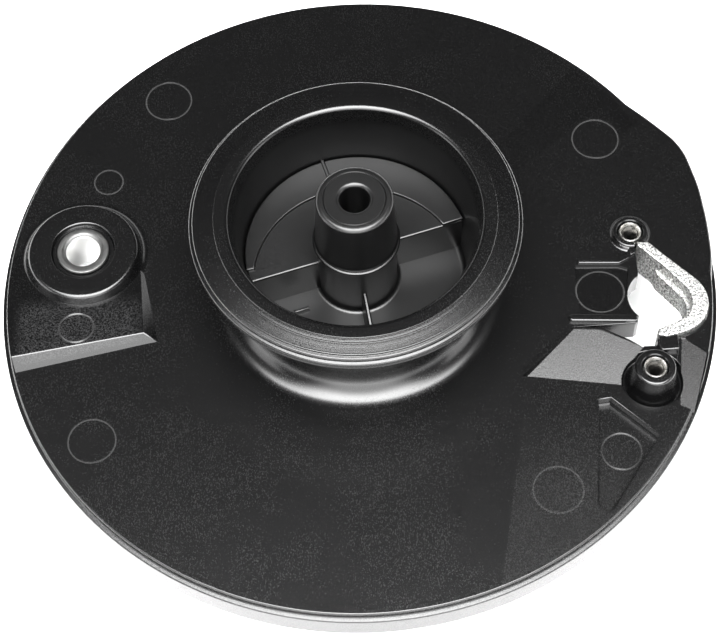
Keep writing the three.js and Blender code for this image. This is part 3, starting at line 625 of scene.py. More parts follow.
def coil_tree():
    """A round wire or flat strip wound round the Z axis."""
    graph, given = node_group("coil", [
        ("Turns", "Float"), ("Start Radius", "Float"), ("End Radius", "Float"),
        ("Height", "Float"), ("Base", "Float"), ("Steps", "Int"),
        ("Width", "Float"), ("Depth", "Float"), ("Round", "Bool"),
        ("Material", "Material")])
    line = graph.node("GeometryNodeCurveSpiral", None, given["Steps"], given["Turns"], given["Start Radius"],
                      given["End Radius"], given["Height"], False)
    wire = graph.node("GeometryNodeCurvePrimitiveCircle", None, Resolution=14, Radius=given["Width"])
    strip = graph.node("GeometryNodeCurvePrimitiveQuadrilateral", None, given["Width"], given["Depth"])
    profile = graph.node("GeometryNodeSwitch", {"input_type": "GEOMETRY"}, given["Round"], strip, wire)
    swept = graph.node("GeometryNodeCurveToMesh", None, line, profile, **{"Fill Caps": True})
    lifted = graph.node("ShaderNodeCombineXYZ", None, 0.0, 0.0, given["Base"])
    moved = graph.node("GeometryNodeSetPosition", None, swept, Offset=lifted)
    return end_group(graph, moved, given["Material"])


def ring_tree():
    """A thin round groove cutter at each point, as large as the point's mark_size says."""
    graph, given = node_group("rings", [
        ("Geometry", "Geometry"), ("Width", "Float"), ("Material", "Material")])
    size = graph.node("GeometryNodeInputNamedAttribute", {"data_type": "FLOAT"}, "mark_size")
    circle = graph.node("GeometryNodeCurvePrimitiveCircle", None, Resolution=72, Radius=1.0)
    points = graph.node("GeometryNodeMeshToPoints", None, given["Geometry"])
    copies = graph.node("GeometryNodeInstanceOnPoints", None, Points=points, Instance=circle, Scale=size)
    real = graph.node("GeometryNodeRealizeInstances", None, copies)
    section = graph.node("GeometryNodeCurvePrimitiveCircle", None, Resolution=6, Radius=given["Width"])
    swept = graph.node("GeometryNodeCurveToMesh", None, real, section)
    return end_group(graph, swept, given["Material"])


def grown_by(tree, name, base=None, **inputs):
    """The plain mesh that a geometry tree makes from its inputs."""
    made = base or solid(name, [(0, 0, 0)], [])
    step = made.modifiers.new(name, "NODES")
    step.node_group = tree
    for socket in tree.interface.items_tree:
        if socket.in_out == "INPUT" and socket.name in inputs:
            step[socket.identifier] = inputs[socket.name]
    made.update_tag()
    bpy.context.view_layer.update()
    return plain_mesh(made)


POLAR = polar_tree()
COIL = coil_tree()
RINGS = ring_tree()


def round_the_axis(name, item, count, first, step, radius=0.0, material=None):
    made = grown_by(POLAR, name, Item=item, Count=count, Radius=radius * MM, First=math.radians(first),
                    Step=math.radians(step), Material=material)
    bpy.data.objects.remove(item)
    return made


def wound(name, turns, start, end, base, height, material, wire=None, strip=None):
    """A coil of round wire, or of strip given as (height, thickness), in millimetres."""
    width, depth = (wire, wire) if wire else strip
    return grown_by(COIL, name, **{
        "Turns": float(turns), "Start Radius": start * MM, "End Radius": end * MM, "Height": height * MM,
        "Base": base * MM, "Steps": 72, "Width": width * MM, "Depth": depth * MM, "Round": bool(wire),
        "Material": material})


# ---- housing
def housing_profile():
    """Section of the plate, rim, neck, flange, cup, boss and well, as (radius, height) corners."""
    flange = TOP + FLANGE_H
    floor = TOP + CUP_FLOOR
    boss = TOP + BOSS_H
    collar = TOP + BOSS_COLLAR_H
    socket_r = SPINDLE_R + INSERT_CLEAR
    well = WELL_R - WELL_T
    inner_rim = PLATE_R - RIM_T
    socket_top = UNDERSIDE + SOCKET_DEPTH
    rim_low = TOP - RIM_H
    return [
        (PLATE_R - 0.3, rim_low), (PLATE_R, rim_low + 0.3), (PLATE_R, TOP - 2.3),
        *arc(PLATE_R - 0.45, TOP - 2.3, 0.45, 0, 80, 4), (PLATE_R - 0.95, TOP - 1.75),
        (PLATE_R - 1.15, TOP - 1.5), (PLATE_R - 1.25, TOP - 0.4),
        *arc(PLATE_R - 1.65, TOP - 0.4, 0.4, 5, 90, 4),
        *arc(NECK_R + NECK_FILLET, TOP + NECK_FILLET, NECK_FILLET, 270, 184, 14), (NECK_R, TOP + 24.5),
        *arc(NECK_R + 2.6, TOP + 25.6, 2.6, 180, 97, 6), (FLANGE_R - 1.0, flange - 4.6),
        *arc(FLANGE_R - 0.6, flange - 4.0, 0.6, -80, 0, 4), (FLANGE_R, flange - 3.0),
        *arc(FLANGE_R - 0.45, flange - 2.9, 0.45, 10, 75, 3), (FLANGE_R - 0.75, flange - 2.35),
        (FLANGE_R - 0.85, flange - 1.85), *arc(FLANGE_R - 1.35, flange - 1.85, 0.5, 5, 80, 4),
        (CONE_R, flange - 0.62), *arc(CONE_R - 0.25, flange - 0.55, 0.25, -20, 90, 3),
        *arc(CUP_R + 4.5, flange - 1.6, 1.3, 90, 168, 8), (CUP_R + 2.9, flange - 2.6),
        (CUP_R + 2.0, flange - 5.0), (CUP_R + 0.6, floor + 9),
        *arc(CUP_R - 1.4, floor + 1.6, 1.6, 0, -90, 5),
        *arc(BOSS_FOOT_R + 0.3, floor + 1.2, 1.2, 270, 180, 4), (BOSS_FOOT_R - 0.8, collar - 1.6),
        (BOSS_FOOT_R - 0.25, collar - 1.2), *arc(BOSS_FOOT_R - 0.45, collar - 0.7, 0.45, -60, 75, 5),
        (BOSS_FOOT_R - 0.75, collar - 0.15), *arc(BOSS_FOOT_R - 0.75, collar + 0.35, 0.4, -70, 60, 4),
        (BOSS_FOOT_R - 0.75, collar + 1.2), (BOSS_R, boss - 1.1),
        *arc(BOSS_R - 1.1, boss - 1.1, 1.1, 0, 90, 7), (BOSS_R - 1.7, boss), (BOSS_R - 1.85, boss - 0.18),
        (BOSS_R - 2.0, boss), (BORE_R + 1.0, boss), *arc(BORE_R + 1.0, boss - 1.0, 1.0, 90, 180, 5),
        (BORE_R, socket_top), (socket_r, socket_top), (socket_r, UNDERSIDE + 0.5),
        (socket_r + 0.5, UNDERSIDE), (socket_r + SOCKET_WALL, UNDERSIDE), (socket_r + SOCKET_WALL, TOP),
        (CUP_R - 2.5, TOP), (CUP_R - 2.5, UNDERSIDE), (well - 1, UNDERSIDE),
        *arc(well - 1, UNDERSIDE - 1, 1.0, 90, 0, 4), (well, 0.4), (well + 0.4, 0), (WELL_R - 0.4, 0),
        (WELL_R, 0.4), (WELL_R, UNDERSIDE - 1), *arc(WELL_R + 1, UNDERSIDE - 1, 1.0, 180, 90, 4),
        (inner_rim - 1, UNDERSIDE), *arc(inner_rim - 1, UNDERSIDE - 1, 1.0, 90, 0, 4),
        (inner_rim, rim_low + 0.3), (inner_rim + 0.3, rim_low),
    ]


# Outlines round the rope exit, from its middle.
GUIDE_OUTER = [
    (-4.1, 16.2), (-1.2, 16), (2, 12.4), *arc(2.8, -1.4, 9, 42, -70, 16), (0.6, -11.4), (-1.7, -10.9)]
GUIDE_INNER = [(-1.7, -9.3), (3.6, -7.2), *arc(0.6, -1.2, 7.1, -40, 35, 10), (1.3, 9.4), (-4.1, 15.2)]
SLIT = [(-2.1, -13), (-5.1, -13), (-6.4, -12.2), (-11.4, -9.4), (-15.4, -7.1), (-22.5, -6.7)]
BAR_END = [(-6.8, -6.5), (-6, -5.9), (-6.6, -4.6)]
RAMP = [(-36.3, -19.8), (-9.5, -24), (-9.2, -17.5), (-4.6, -12.6), (-15.4, -7.3), (-22.5, -6.9)]


def plane_slab(name, centre, corners):
    """A cutter under a tilted floor, given by four (x, y, height) corners from a centre."""
    floor = [(x + centre[0], y + centre[1], TOP + height) for x, y, height in corners]
    return loft(name, [floor, [(x, y, TOP + 3) for x, y, _ in floor]])


def tilted_recess(name, outline, centre, floor, wall=0.0):
    """A cutter over an outline, whose floor is the plane through three (x, y, depth) points."""
    (x0, y0, d0), (x1, y1, d1), (x2, y2, d2) = floor
    normal = Vector((x1 - x0, y1 - y0, d1 - d0)).cross(Vector((x2 - x0, y2 - y0, d2 - d0)))

    def depth(x, y):
        return d0 - (normal.x * (x - x0) + normal.y * (y - y0)) / normal.z

    outline = outline if area(outline) > 0 else outline[::-1]
    low = grown(outline, -wall) if wall else outline
    rings = [
        [(x, y, min(TOP - depth(x, y), TOP + 0.5)) for x, y in low],
        [(x, y, TOP + 0.6) for x, y in outline],
        [(x, y, TOP + 3) for x, y in outline],
    ]
    return loft(name, [[(x + centre[0], y + centre[1], z) for x, y, z in ring] for ring in rings])


def cup_details():
    """What stands on the cup's floor: the shelf, its raised back, ribs and a small ledge."""
    floor = TOP + CUP_FLOOR - 0.5
    shelf_line = sector(BORE_R + 3, CUP_R + 0.4, SHELF_ANGLE, SHELF_ANGLE + 180)
    shelf = block("shelf", shelf_line, floor, TOP + SHELF_H, 0.5)
    ridge = arc(0, -7.5, 25.5, 32.5, 172, 40)
    wall = arc(0, 0, CUP_R + 0.6, 189, SHELF_ANGLE + 0.6, 40)
    crescent = block("crescent", ridge + wall, TOP + SHELF_H - 2, TOP + SHELF_H + 0.8, 0.35)
    rib = loft("front_rib", [
        [(radius, -0.9, floor), (radius, 0.9, floor), (radius, 0.55, crest), (radius, 0.2, crest + 0.3),
         (radius, -0.2, crest + 0.3), (radius, -0.55, crest)]
        for radius, crest in ((BOSS_FOOT_R - 2, TOP + 11), (15.5, TOP + 9.6), (CUP_R + 0.5, TOP + 6.5))])
    back_rib = block("back_rib", oblong(21, CUP_R + 1, 0.5), TOP + SHELF_H - 1, TOP + SHELF_H + 1.1, 0.35)
    for part, turn in ((rib, -82), (back_rib, 106)):
        part.data.transform(rotation(turn))
    along = Vector(at(1, SHELF_ANGLE))
    out = Vector((along.y, -along.x))
    start = Vector((-17.6, -5.4)) + out * 4.4
    corners = [start, start + out * 0.8, start + out * 0.8 + along * 3.9, start + along * 3.9]
    ledge = block("ledge", [tuple(corner) for corner in corners], floor, TOP + CUP_FLOOR + 1.4, 0.3)
    return [shelf, crescent, rib, back_rib, ledge]


def left_details():
    """The bolt pad, its boss below, and the wedge-shaped step in front of it."""
    pad = lathe("pad", [
        (0, TOP - 1), (PAD_FOOT_R + 0.6, TOP - 1), (PAD_FOOT_R + 0.6, TOP),
        *arc(PAD_FOOT_R - 0.15, TOP + 2.4, 2.4, 270, 190, 8),
        *arc(PAD_R + 0.1, TOP + PAD_H - 1.1, 1.1, 12, 90, 6), (0, TOP + PAD_H)], MEDIUM, BUSH)
    boss = lathe("pad_boss", [
        (0, UNDERSIDE - 6), (8.6, UNDERSIDE - 6), (9, UNDERSIDE - 5.6), (9, UNDERSIDE - 0.8),
        *arc(9.8, UNDERSIDE - 0.8, 0.8, 180, 90, 3), (9.8, UNDERSIDE + 0.4), (0, UNDERSIDE + 0.4)], MEDIUM,
        BUSH)
    crest = [(-96.0, -19.9, 3.2), (-53.8, -13.0, 2.6), (-55.4, 13, 0.0), (-96.0, 13, 0.0)]
    foot = [(-98.0, -24.0, -0.5), (-50.0, -14.5, -0.5), (-52.6, 14, -0.5), (-98.0, 13, -0.5)]
    step = loft("step", [[(x, y, TOP + z) for x, y, z in ring] for ring in (foot, crest)])
    bevel = step.modifiers.new("edge", "BEVEL")
    bevel.width = 0.35 * MM
    bevel.segments = 3
    plain_mesh(step)
    combine(step, [rod("step_limit", PLATE_R - 1.8, TOP - 2, TOP + 5, sides=FINE)], "INTERSECT")
    return [pad, boss, step]


def right_details():
    """The ear of the rim, the bar beside the slit, the low walls and the inserts' bosses."""
    side, inner_rim = PLATE_R - 0.02, PLATE_R - RIM_T
    ear_outline = [
        at(inner_rim, -9), at(PLATE_R - 1.5, -9), (side, 4), (side, 14), (PLATE_R - 0.8, 24.3),
        (PLATE_R - 3.1, 34.7), (PLATE_R - 5.4, 39.3), (PLATE_R - 11.6, 46.2), at(PLATE_R - 1.4, 38),
        at(inner_rim - 1, 37), at(inner_rim, 22), at(inner_rim, 10)]
    ear = block("ear", softened(ear_outline, 3.0, 4), TOP - RIM_H, TOP - 0.02, 1.2)
    bar_line = arc(-6.9, -5.5, 1, -90, 90, 8) + arc(-22.2, -4.5, 1, 90, 270, 8)
    bar = block("bar", placed(bar_line, EXIT), UNDERSIDE, TOP + 1.1, 0.45)
    lintel = [(-19.4, 11.4), (-9, 10.8), (-6.3, 12.2), (-5.4, 14.6),
              (-6.3, 14.9), (-7.4, 12.9), (-9.2, 11.7), (-19.4, 12.2)]
    ridge = block("platform_edge", placed(softened(lintel, 0.4, 2), EXIT), TOP - 0.5, TOP + 0.55, 0.3)
    seat = [(-2.3, -13.2), (-2.3, -10.8), (2.9, -10.7), (3.0, -15.2), (-1.4, -15.4)]
    wall = block("seat_wall", placed(softened(seat, 0.35, 2), EXIT), UNDERSIDE, TOP + 1.9, 0.35)
    ledge = [(-4.2, -16.2), (-3.2, -14.2), (3.0, -15.0), (2.3, -18.2)]
    low_ledge = block("seat_ledge", placed(softened(ledge, 0.6, 3), EXIT), UNDERSIDE, TOP + 0.4, 0.5)
    thick = sector(WELL_R - 0.5, inner_rim + 0.3, -52, 17, 24)
    under = block("under_block", thick, UNDERSIDE - 4, UNDERSIDE + 0.4, SHARP, 0.6)
    upper = lathe("upper_boss", [
        (0, TOP - RIM_H), (4.4, TOP - RIM_H), (4.4, TOP - 0.5), (5.6, TOP - 0.5), (5.6, TOP),
        *arc(5.6, TOP + 0.8, 0.8, 270, 200, 4), (4.5, UPPER_TOP - 0.45),
        *arc(4.05, UPPER_TOP - 0.45, 0.45, 10, 90, 4), (0, UPPER_TOP)], SMALL, UPPER)
    lower_base = rod("lower_base", 6.1, TOP - RIM_H, UNDERSIDE + 0.4, LOWER)
    webs = [block(f"web_{i}", placed(line, UPPER), TOP - 0.4, TOP + height, 0.25)
            for i, (line, height) in enumerate((
                ([(-2.9, -4.2), (-2.2, -3.6), (-3.3, -0.9), (-4.1, -1.2)], 0.9),
                ([(-0.6, -6.9), (1.9, -5.2), (1.5, -3.4), (-0.8, -4.2)], 0.8)))]
    return [ear, bar, ridge, wall, low_ledge, under, upper, lower_base, *webs]


def lower_boss():
    """The lower insert's boss, which stands in its round pocket."""
    floor = TOP - 3
    return lathe("lower_boss", [
        (0, floor - 1), (6.7, floor - 1), (6.7, floor), *arc(7.1, floor + 0.9, 0.9, 270, 215, 4),
        (5.9, floor + 1.3), (5.0, LOWER_TOP - 0.95), *arc(4.35, LOWER_TOP - 0.65, 0.65, 5, 90, 6),
        (0, LOWER_TOP)], MEDIUM, LOWER)


def cuts():
    """Recesses of the plate, and the openings through it."""
    round_side = arc(-0.3, 1, 7.6, 225, 125, 10) + [(-4.5, 8.3), (-4.5, 16.4)]
    opening = offset_run(GUIDE_OUTER, INSERT_CLEAR) + SLIT + BAR_END + round_side
    exit_hole = hollow("exit_hole", placed(opening, EXIT), TOP - RIM_H - 1, TOP, 0.25)
    above = block("exit_above", placed(opening, EXIT), TOP - 1, TOP + 4, SHARP)
    ramp = tilted_recess("ramp", RAMP, EXIT, [(-36, -24, 3.0), (0, -24, 3.0), (0, -6.5, 0.0)], 0.5)
    left_slope = plane_slab("ramp_side", EXIT, [
        (-38.6, -20.0, -0.02), (-36.0, -21.2, 2.7), (-22.4, -7.2, 0.15), (-23.6, -6.6, -0.02)])
    right = [(3.6, -10.9), (5.3, -10.9), (10.7, -15.2), (5.4, -32.0), (1.4, -29.7)]
    slope = tilted_recess("right_slope", right, EXIT, [(2, -31, 3.0), (8, -31, 3.0), (5, -11, 0.3)], 0.6)
    pocket_line = [(-18, -27.2), (-15, -26.9), (-4.4, -37.4), *arc(-18.6, -54.4, 2.2, -60, -180, 8)]
    pocket = hollow("rim_pocket", placed(pocket_line, EXIT), TOP - 3, TOP, 0.3, 0.4)
    bank = plane_slab("rim_pocket_bank", EXIT, [
        (-20.4, -29.4, 2.0), (-5.8, -41.2, 2.0), (-3.0, -37.0, -0.02), (-16.2, -25.2, -0.02)])
    round_pocket = lathe("lower_pocket", [
        (0, TOP - 3), (6.9, TOP - 3), *arc(6.9, TOP - 2.3, 0.7, 270, 360, 4), (7.6, TOP - 0.4),
        *arc(8.0, TOP - 0.4, 0.4, 180, 90, 3), (8.0, TOP + 1), (0, TOP + 1)], MEDIUM, LOWER)
    level_line = [(-20.6, -3.6), (-7.2, -4.4), (-7.6, 3.5), (-6.6, 9.6), (-9.4, 10.7), (-20.4, 11.2)]
    platform = tilted_recess("platform", level_line, EXIT, [
        (-20, 11, 0.75), (-8, 11, 0.75), (-14, -4, 0.1)], 0.4)
    facet = plane_slab("rim_facet", (0, 0), [
        (57.5, 71.5, -1.6), (79.5, 49.0, -1.6), (73.8, 45.5, 0.02), (59.8, 61.5, 0.02)])
    return [ramp, left_slope, slope, pocket, bank, round_pocket, platform, facet], [exit_hole, above]


def seats():
    """Cutters for the seats of the bush and the inserts."""
    low, face, radius = TOP - RIM_H - 1, TOP + PAD_H, COUNTERBORE_R
    seat = face - COUNTERBORE_D
    bush = lathe("bush_seat", [
        (0, low), (5.7, low), (5.7, seat), (radius - 0.3, seat), (radius, seat + 0.3),
        (radius, face - 0.45), *arc(radius + 0.45, face - 0.45, 0.45, 180, 90, 4),
        (radius + 0.45, face + 1), (0, face + 1)], MEDIUM, BUSH)
    inserts = [lathe(f"{name}_seat", [
        (0, top - 8.3), (3.3, top - 8.3), (3.3, top - 0.25), (3.55, top), (3.55, top + 2), (0, top + 2)],
        SMALL, centre)
        for name, centre, top in (("upper", UPPER, UPPER_TOP), ("lower", LOWER, LOWER_TOP))]
    return [bush, *inserts]


def ejector_grooves():
    """Cutters for the marks on the plate's face."""
    marks = solid("ejector_grooves", [(x, y, TOP) for x, y, _ in PLATE_MARKS], [])
    sizes = marks.data.attributes.new("mark_size", "FLOAT", "POINT")
    for entry, (_, _, size) in zip(sizes.data, PLATE_MARKS):
        entry.value = size * MM
    return grown_by(RINGS, "ejector_grooves", marks, Width=0.25 * MM, Material=BLACK)


def single_mark(name, mark, height, normal=(0, 0, 1), depth=0.25):
    """A cutter for a mark on a lower, raised or tilted face."""
    x, y, radius = mark
    made = lathe(name, [(radius - depth, 0), (radius, -depth), (radius + depth, 0), (radius, depth)], MEDIUM)
    turn = Vector((0, 0, 1)).rotation_difference(Vector(normal)).to_matrix().to_4x4()
    made.data.transform(shift((x, y), TOP + height) @ turn)
    return made


def tick(name, radius, degrees, length):
    """A short parting line, cut as a groove along a radius."""
    foot = level(oblong(radius, radius + length, 0.05), TOP - 0.15)
    mouth = level(oblong(radius, radius + length, 0.2), TOP + 0.2)
    part = loft(name, [foot, mouth])
    part.data.transform(rotation(degrees))
    return part


def under_ribs():
    """Stiffening ribs under the plate, in two even runs round the well."""
    start, end = WELL_R - WELL_T / 2, PLATE_R - RIM_T / 2
    runs = []
    for name, count, first in (("back", 6, 28), ("front", 5, 205)):
        item = block(f"rib_{name}", oblong(start, end, 0.9), UNDERSIDE - 5, UNDERSIDE + 0.3, SHARP, 0.5)
        runs.append(round_the_axis(f"ribs_{name}", item, count, first, 24, material=BLACK))
    return runs


def cover_posts():
    """Posts for the cover's screws, and the cutters for their bores."""
    posts, bores = [], []
    low, top = COVER_HIGH.z + 0.3, UNDERSIDE + 0.3
    for i, turn in enumerate(POST_ANGLES):
        centre = at(POST_R, turn)
        posts.append(lathe(f"post_{i}", [
            (0, low), (3.3, low), (3.6, low + 0.3), (3.6, top), (0, top)], SMALL, centre))
        bores.append(lathe(f"post_bore_{i}", [
            (0, low - 1), (1.7, low - 1), (1.7, SCREW_HIGH.z + 0.3), (0, SCREW_HIGH.z + 0.8)], SMALL,
            centre))
    return posts, bores


def shelf_hollow():
    """A cutter that hollows the shelf from below, to keep the moulding's wall even."""
    outline = sector(BOSS_FOOT_R + 2.5, NECK_R - 5, SHELF_ANGLE + 12, SHELF_ANGLE + 168)
    return block("shelf_hollow", outline, UNDERSIDE - 1, TOP + SHELF_H - 3, 0.8)


def rope_window():
    """A cutter for the rope's way out of the well."""
    outline = sector(WELL_R - WELL_T - 1, WELL_R + 1, -6, 30, 16)
    return block("rope_window", outline, DRUM_LOW.z - 0.3, DRUM_LOW.z + 9.7, SHARP)


def housing():
    posts, bores = cover_posts()
    body = lathe("housing_body", housing_profile(), FINE)
    joined(body, *cup_details(), *left_details(), *right_details(), *under_ribs(), *posts)
    recesses, openings = cuts()
    cut(body, *recesses)
    joined(body, lower_boss())
    marks = [
        ejector_grooves(), single_mark("pad_mark", PAD_MARK, 2.38, (0.006, 0.1, 1), 0.3),
        single_mark("pocket_mark", POCKET_MARK, -3), single_mark("platform_mark", PLATFORM_MARK, -0.25),
        tick("tick_left", 42.0, 171.2, 2.4), tick("tick_right", 35.0, -10.4, 6.5)]
    cut(body, *openings, *seats(), *bores, shelf_hollow(), rope_window(), *marks)
    finished(body, "housing", BLACK, ["housing"])


# ---- metal round the plate
def threaded(radius, low, high, pitch=0.7, depth=0.28):
    """Zigzag of a thread up a wall, as (radius, height) corners."""
    count = int((high - low) / pitch)
    start = high - count * pitch
    return [(radius - depth * (i % 2), start + pitch * i / 2) for i in range(2 * count + 1)]


def mount_bush():
    low, high = span("mount_bush")
    bore, body, flange = 4.2, 5.4, (high.x - low.x) / 2
    lip = high.z - 0.9
    made = lathe("mount_bush_visual", [
        (bore + 0.3, low.z), (body - 0.3, low.z), (body, low.z + 0.3), (body, lip - 0.5),
        (body + 0.35, lip), (flange - 0.25, lip), *arc(flange - 0.35, lip + 0.35, 0.35, -70, 0, 3),
        *arc(flange - 0.4, high.z - 0.4, 0.4, 0, 82, 5), (bore + 1.1, high.z - 0.1),
        (bore + 0.85, high.z - 0.3), *arc(bore + 0.5, high.z - 0.9, 0.5, 80, 180, 6), (bore, low.z + 0.3)],
        MEDIUM, BUSH)
    finished(made, "housing", BUSH_STEEL)


def insert(node, centre, look):
    low, high = span(node)
    radius, mouth = INSERT_R, high.z - 1.15
    made = lathe(f"{node}_visual", [
        (THREAD_R + 0.3, low.z), (radius - 0.35, low.z), (radius - 0.15, low.z + 0.2),
        (radius - 0.15, high.z - 0.25), (radius - 0.3, high.z - 0.05), (radius - 0.42, high.z - 0.05),
        (radius - 0.55, high.z - 0.25), (THREAD_R + 0.12, mouth),
        *threaded(THREAD_R, low.z + 0.3, mouth)[::-1]], SMALL, centre)
    knurl = [(radius - 0.4, -0.09), (radius - 0.02, -0.02), (radius - 0.02, 0.02), (radius - 0.4, 0.09)]
    ridge = block("knurl", knurl, low.z + 0.8, high.z - 1.6, SHARP)
    knurls = round_the_axis(f"{node}_knurls", ridge, 36, 0, 10, material=look)
    knurls.data.transform(shift(centre))
    joined(made, knurls)
    finished(made, "housing", look)


def rope_guide():
    low, high = GUIDE_LOW.z, GUIDE_HIGH.z
    outline = softened(GUIDE_OUTER + GUIDE_INNER, 0.35, 2)
    made = block("rope_guide_visual", placed(outline, EXIT), low, high, 0.35, 0.3)
    lip = offset_run(GUIDE_OUTER[1:-1], -0.5) + offset_run(GUIDE_INNER[1:-1], 0.9)
    shelf = block("guide_shelf", placed(softened(lip, 0.3, 2), EXIT), low + 0.4, high - 4.4, 0.35)
    joined(made, shelf)
    finished(made, "housing", CAST, crease=40)


# ---- spindle, screw and washers
def spindle():
    low, high = span("spindle")
    made = lathe("spindle_visual", [
        (3.3, low.z), (SPINDLE_R - 0.3, low.z), (SPINDLE_R, low.z + 0.3), (SPINDLE_R, high.z - 0.9),
        *arc(SPINDLE_R - 0.8, high.z - 0.9, 0.8, 10, 80, 4), (0, high.z), (0, low.z + 15.5),
        (2.85, low.z + 14.6), (2.85, low.z + 0.6)], MEDIUM)
    finished(made, "housing", PLATED)


def centre_screw():
    low, high = span("centre_screw")
    face = low.z + 4.0
    corner = high.x
    head = block("centre_screw_visual", [at(corner, 60 * i) for i in range(6)], low.z, face, SHARP)
    dome = lathe("head_limit", [
        (0, low.z), (3.9, low.z), (4.7, low.z + 0.25), (corner + 0.1, low.z + 0.9),
        (corner + 0.1, face - 0.35), (4.9, face), (0, face)], MEDIUM)
    combine(head, [dome], "INTERSECT")
    cut(head, lathe("head_dish", [
        (0, low.z - 1), (3.4, low.z - 1), (3.4, low.z), (3.0, low.z + 0.5), (0, low.z + 0.5)], MEDIUM))
    shank = lathe("shank", [
        (0, face - 0.5), (2.7, face - 0.5), *threaded(2.7, face + 1.5, high.z - 0.6, 0.8), (1.9, high.z),
        (0, high.z)], MEDIUM)
    joined(head, shank)
    finished(head, "housing", PLATED)


def washers():
    low, high = span("thrust_washer")
    thrust = lathe("thrust_washer_visual", [
        (3.2, low.z + 0.1), (3.1, low.z), *arc(high.x - 0.2, low.z + 0.2, 0.2, 270, 360, 3),
        *arc(high.x - 0.2, high.z - 0.2, 0.2, 0, 90, 3), (3.1, high.z), (3.0, high.z - 0.1)], MEDIUM)
    finished(thrust, "housing", SHEET)
    low, high = span("lock_washer")
    sections = []
    for i in range(61):
        turn, lift = 6 + 348 * i / 60, 0.22 * i / 60
        rect = [(3.05, low.z + 0.1), (high.x - 0.1, low.z), (high.x - 0.1, high.z - 0.34),
                (3.05, high.z - 0.3)]
        sections.append([(*at(radius, turn), height + lift) for radius, height in rect])
    finished(loft("lock_washer_visual", sections), "housing", PLATED)


# ---- spring, cassette and cover
def spring_cassette():
    low, high = span("spring_cassette")
    radius, hole = CASSETTE_R, SPINDLE_R + 4.1
    made = lathe("spring_cassette_visual", [
        (hole, high.z - 1), (radius - 2.0, high.z - 1), *arc(radius - 2.0, high.z - 2.0, 1.0, 90, 0, 5),
        (radius - 1, low.z + 0.1), (radius - 0.5, low.z), (radius, low.z + 0.3), (radius, high.z - 1.8),
        *arc(radius - 1.8, high.z - 1.8, 1.8, 0, 90, 8), (22, high.z), (21.4, high.z - 0.3),
        (14, high.z - 0.3), (13.4, high.z), (hole + 0.2, high.z), (hole, high.z - 0.2)], FINE)
    finished(made, "housing", SHEET)


def recoil_spring():
    low, high = span("recoil_spring")
    width = high.z - low.z
    section = (0.55, width - 0.2)
    made = wound("recoil_spring_visual", 11, 12.6, 37.2, low.z + width / 2, 0, SPRING, strip=section)
    finished(made, "housing", SPRING)


def spring_cover():
    low, high = COVER_LOW.z, COVER_HIGH.z
    outer, hole = CASSETTE_R + 1, 12.1
    made = lathe("spring_cover_visual", [
        (hole, low + 0.15), (hole + 0.15, low), (19, low), (19.4, low + 0.25), (30, low + 0.25),
        (30.4, low), (outer - 0.2, low), (outer, low + 0.2), (outer, high - 0.1), (outer - 0.1, high),
        (30.6, high), (hole + 0.15, high), (hole, high - 0.15)], FINE)
    ears = [(outer - 2, -2.8), *arc(POST_R, 0, 2.8, -90, 90, 14), (outer - 2, 2.8)]
    ear = block("cover_ear", ears, low, high, 0.12, 0.12)
    joined(made, round_the_axis("cover_ears", ear, 3, POST_ANGLES[0], 120, material=SHEET))
    bores = [rod(f"cover_bore_{i}", 1.7, low - 1, high + 1, at(POST_R, turn))
             for i, turn in enumerate(POST_ANGLES)]
    vent = block("vent", sector(22.5, 26.5, -14, 14, 12), low - 1, high + 1, SHARP)
    cut(made, *bores, round_the_axis("cover_vents", vent, 6, 15, 60, material=SHEET))
    finished(made, "housing", SHEET)


def cover_screws():
    low, high = SCREW_LOW.z, SCREW_HIGH.z
    face = low + 1.7
    item = lathe("cover_screw", [
        (0, low), (1.6, low + 0.05), (2.2, low + 0.35), (2.65, low + 0.95), (2.75, face - 0.15),
        (2.6, face), (1.35, face), *threaded(1.4, face + 0.4, high - 1.2, 0.6, 0.25), (0, high)], SMALL)
    arms = [block(f"recess_{i}", oblong(-1.25, 1.25, 0.27), low - 1, low + 0.85, 0.2) for i in range(2)]
    arms[1].data.transform(rotation(90))
    cut(item, *arms)
    made = round_the_axis("cover_screws_visual", item, 3, POST_ANGLES[0], 120, POST_R, PLATED)
    finished(made, "housing", PLATED, ["cover_screw_1", "cover_screw_2", "cover_screw_3"])


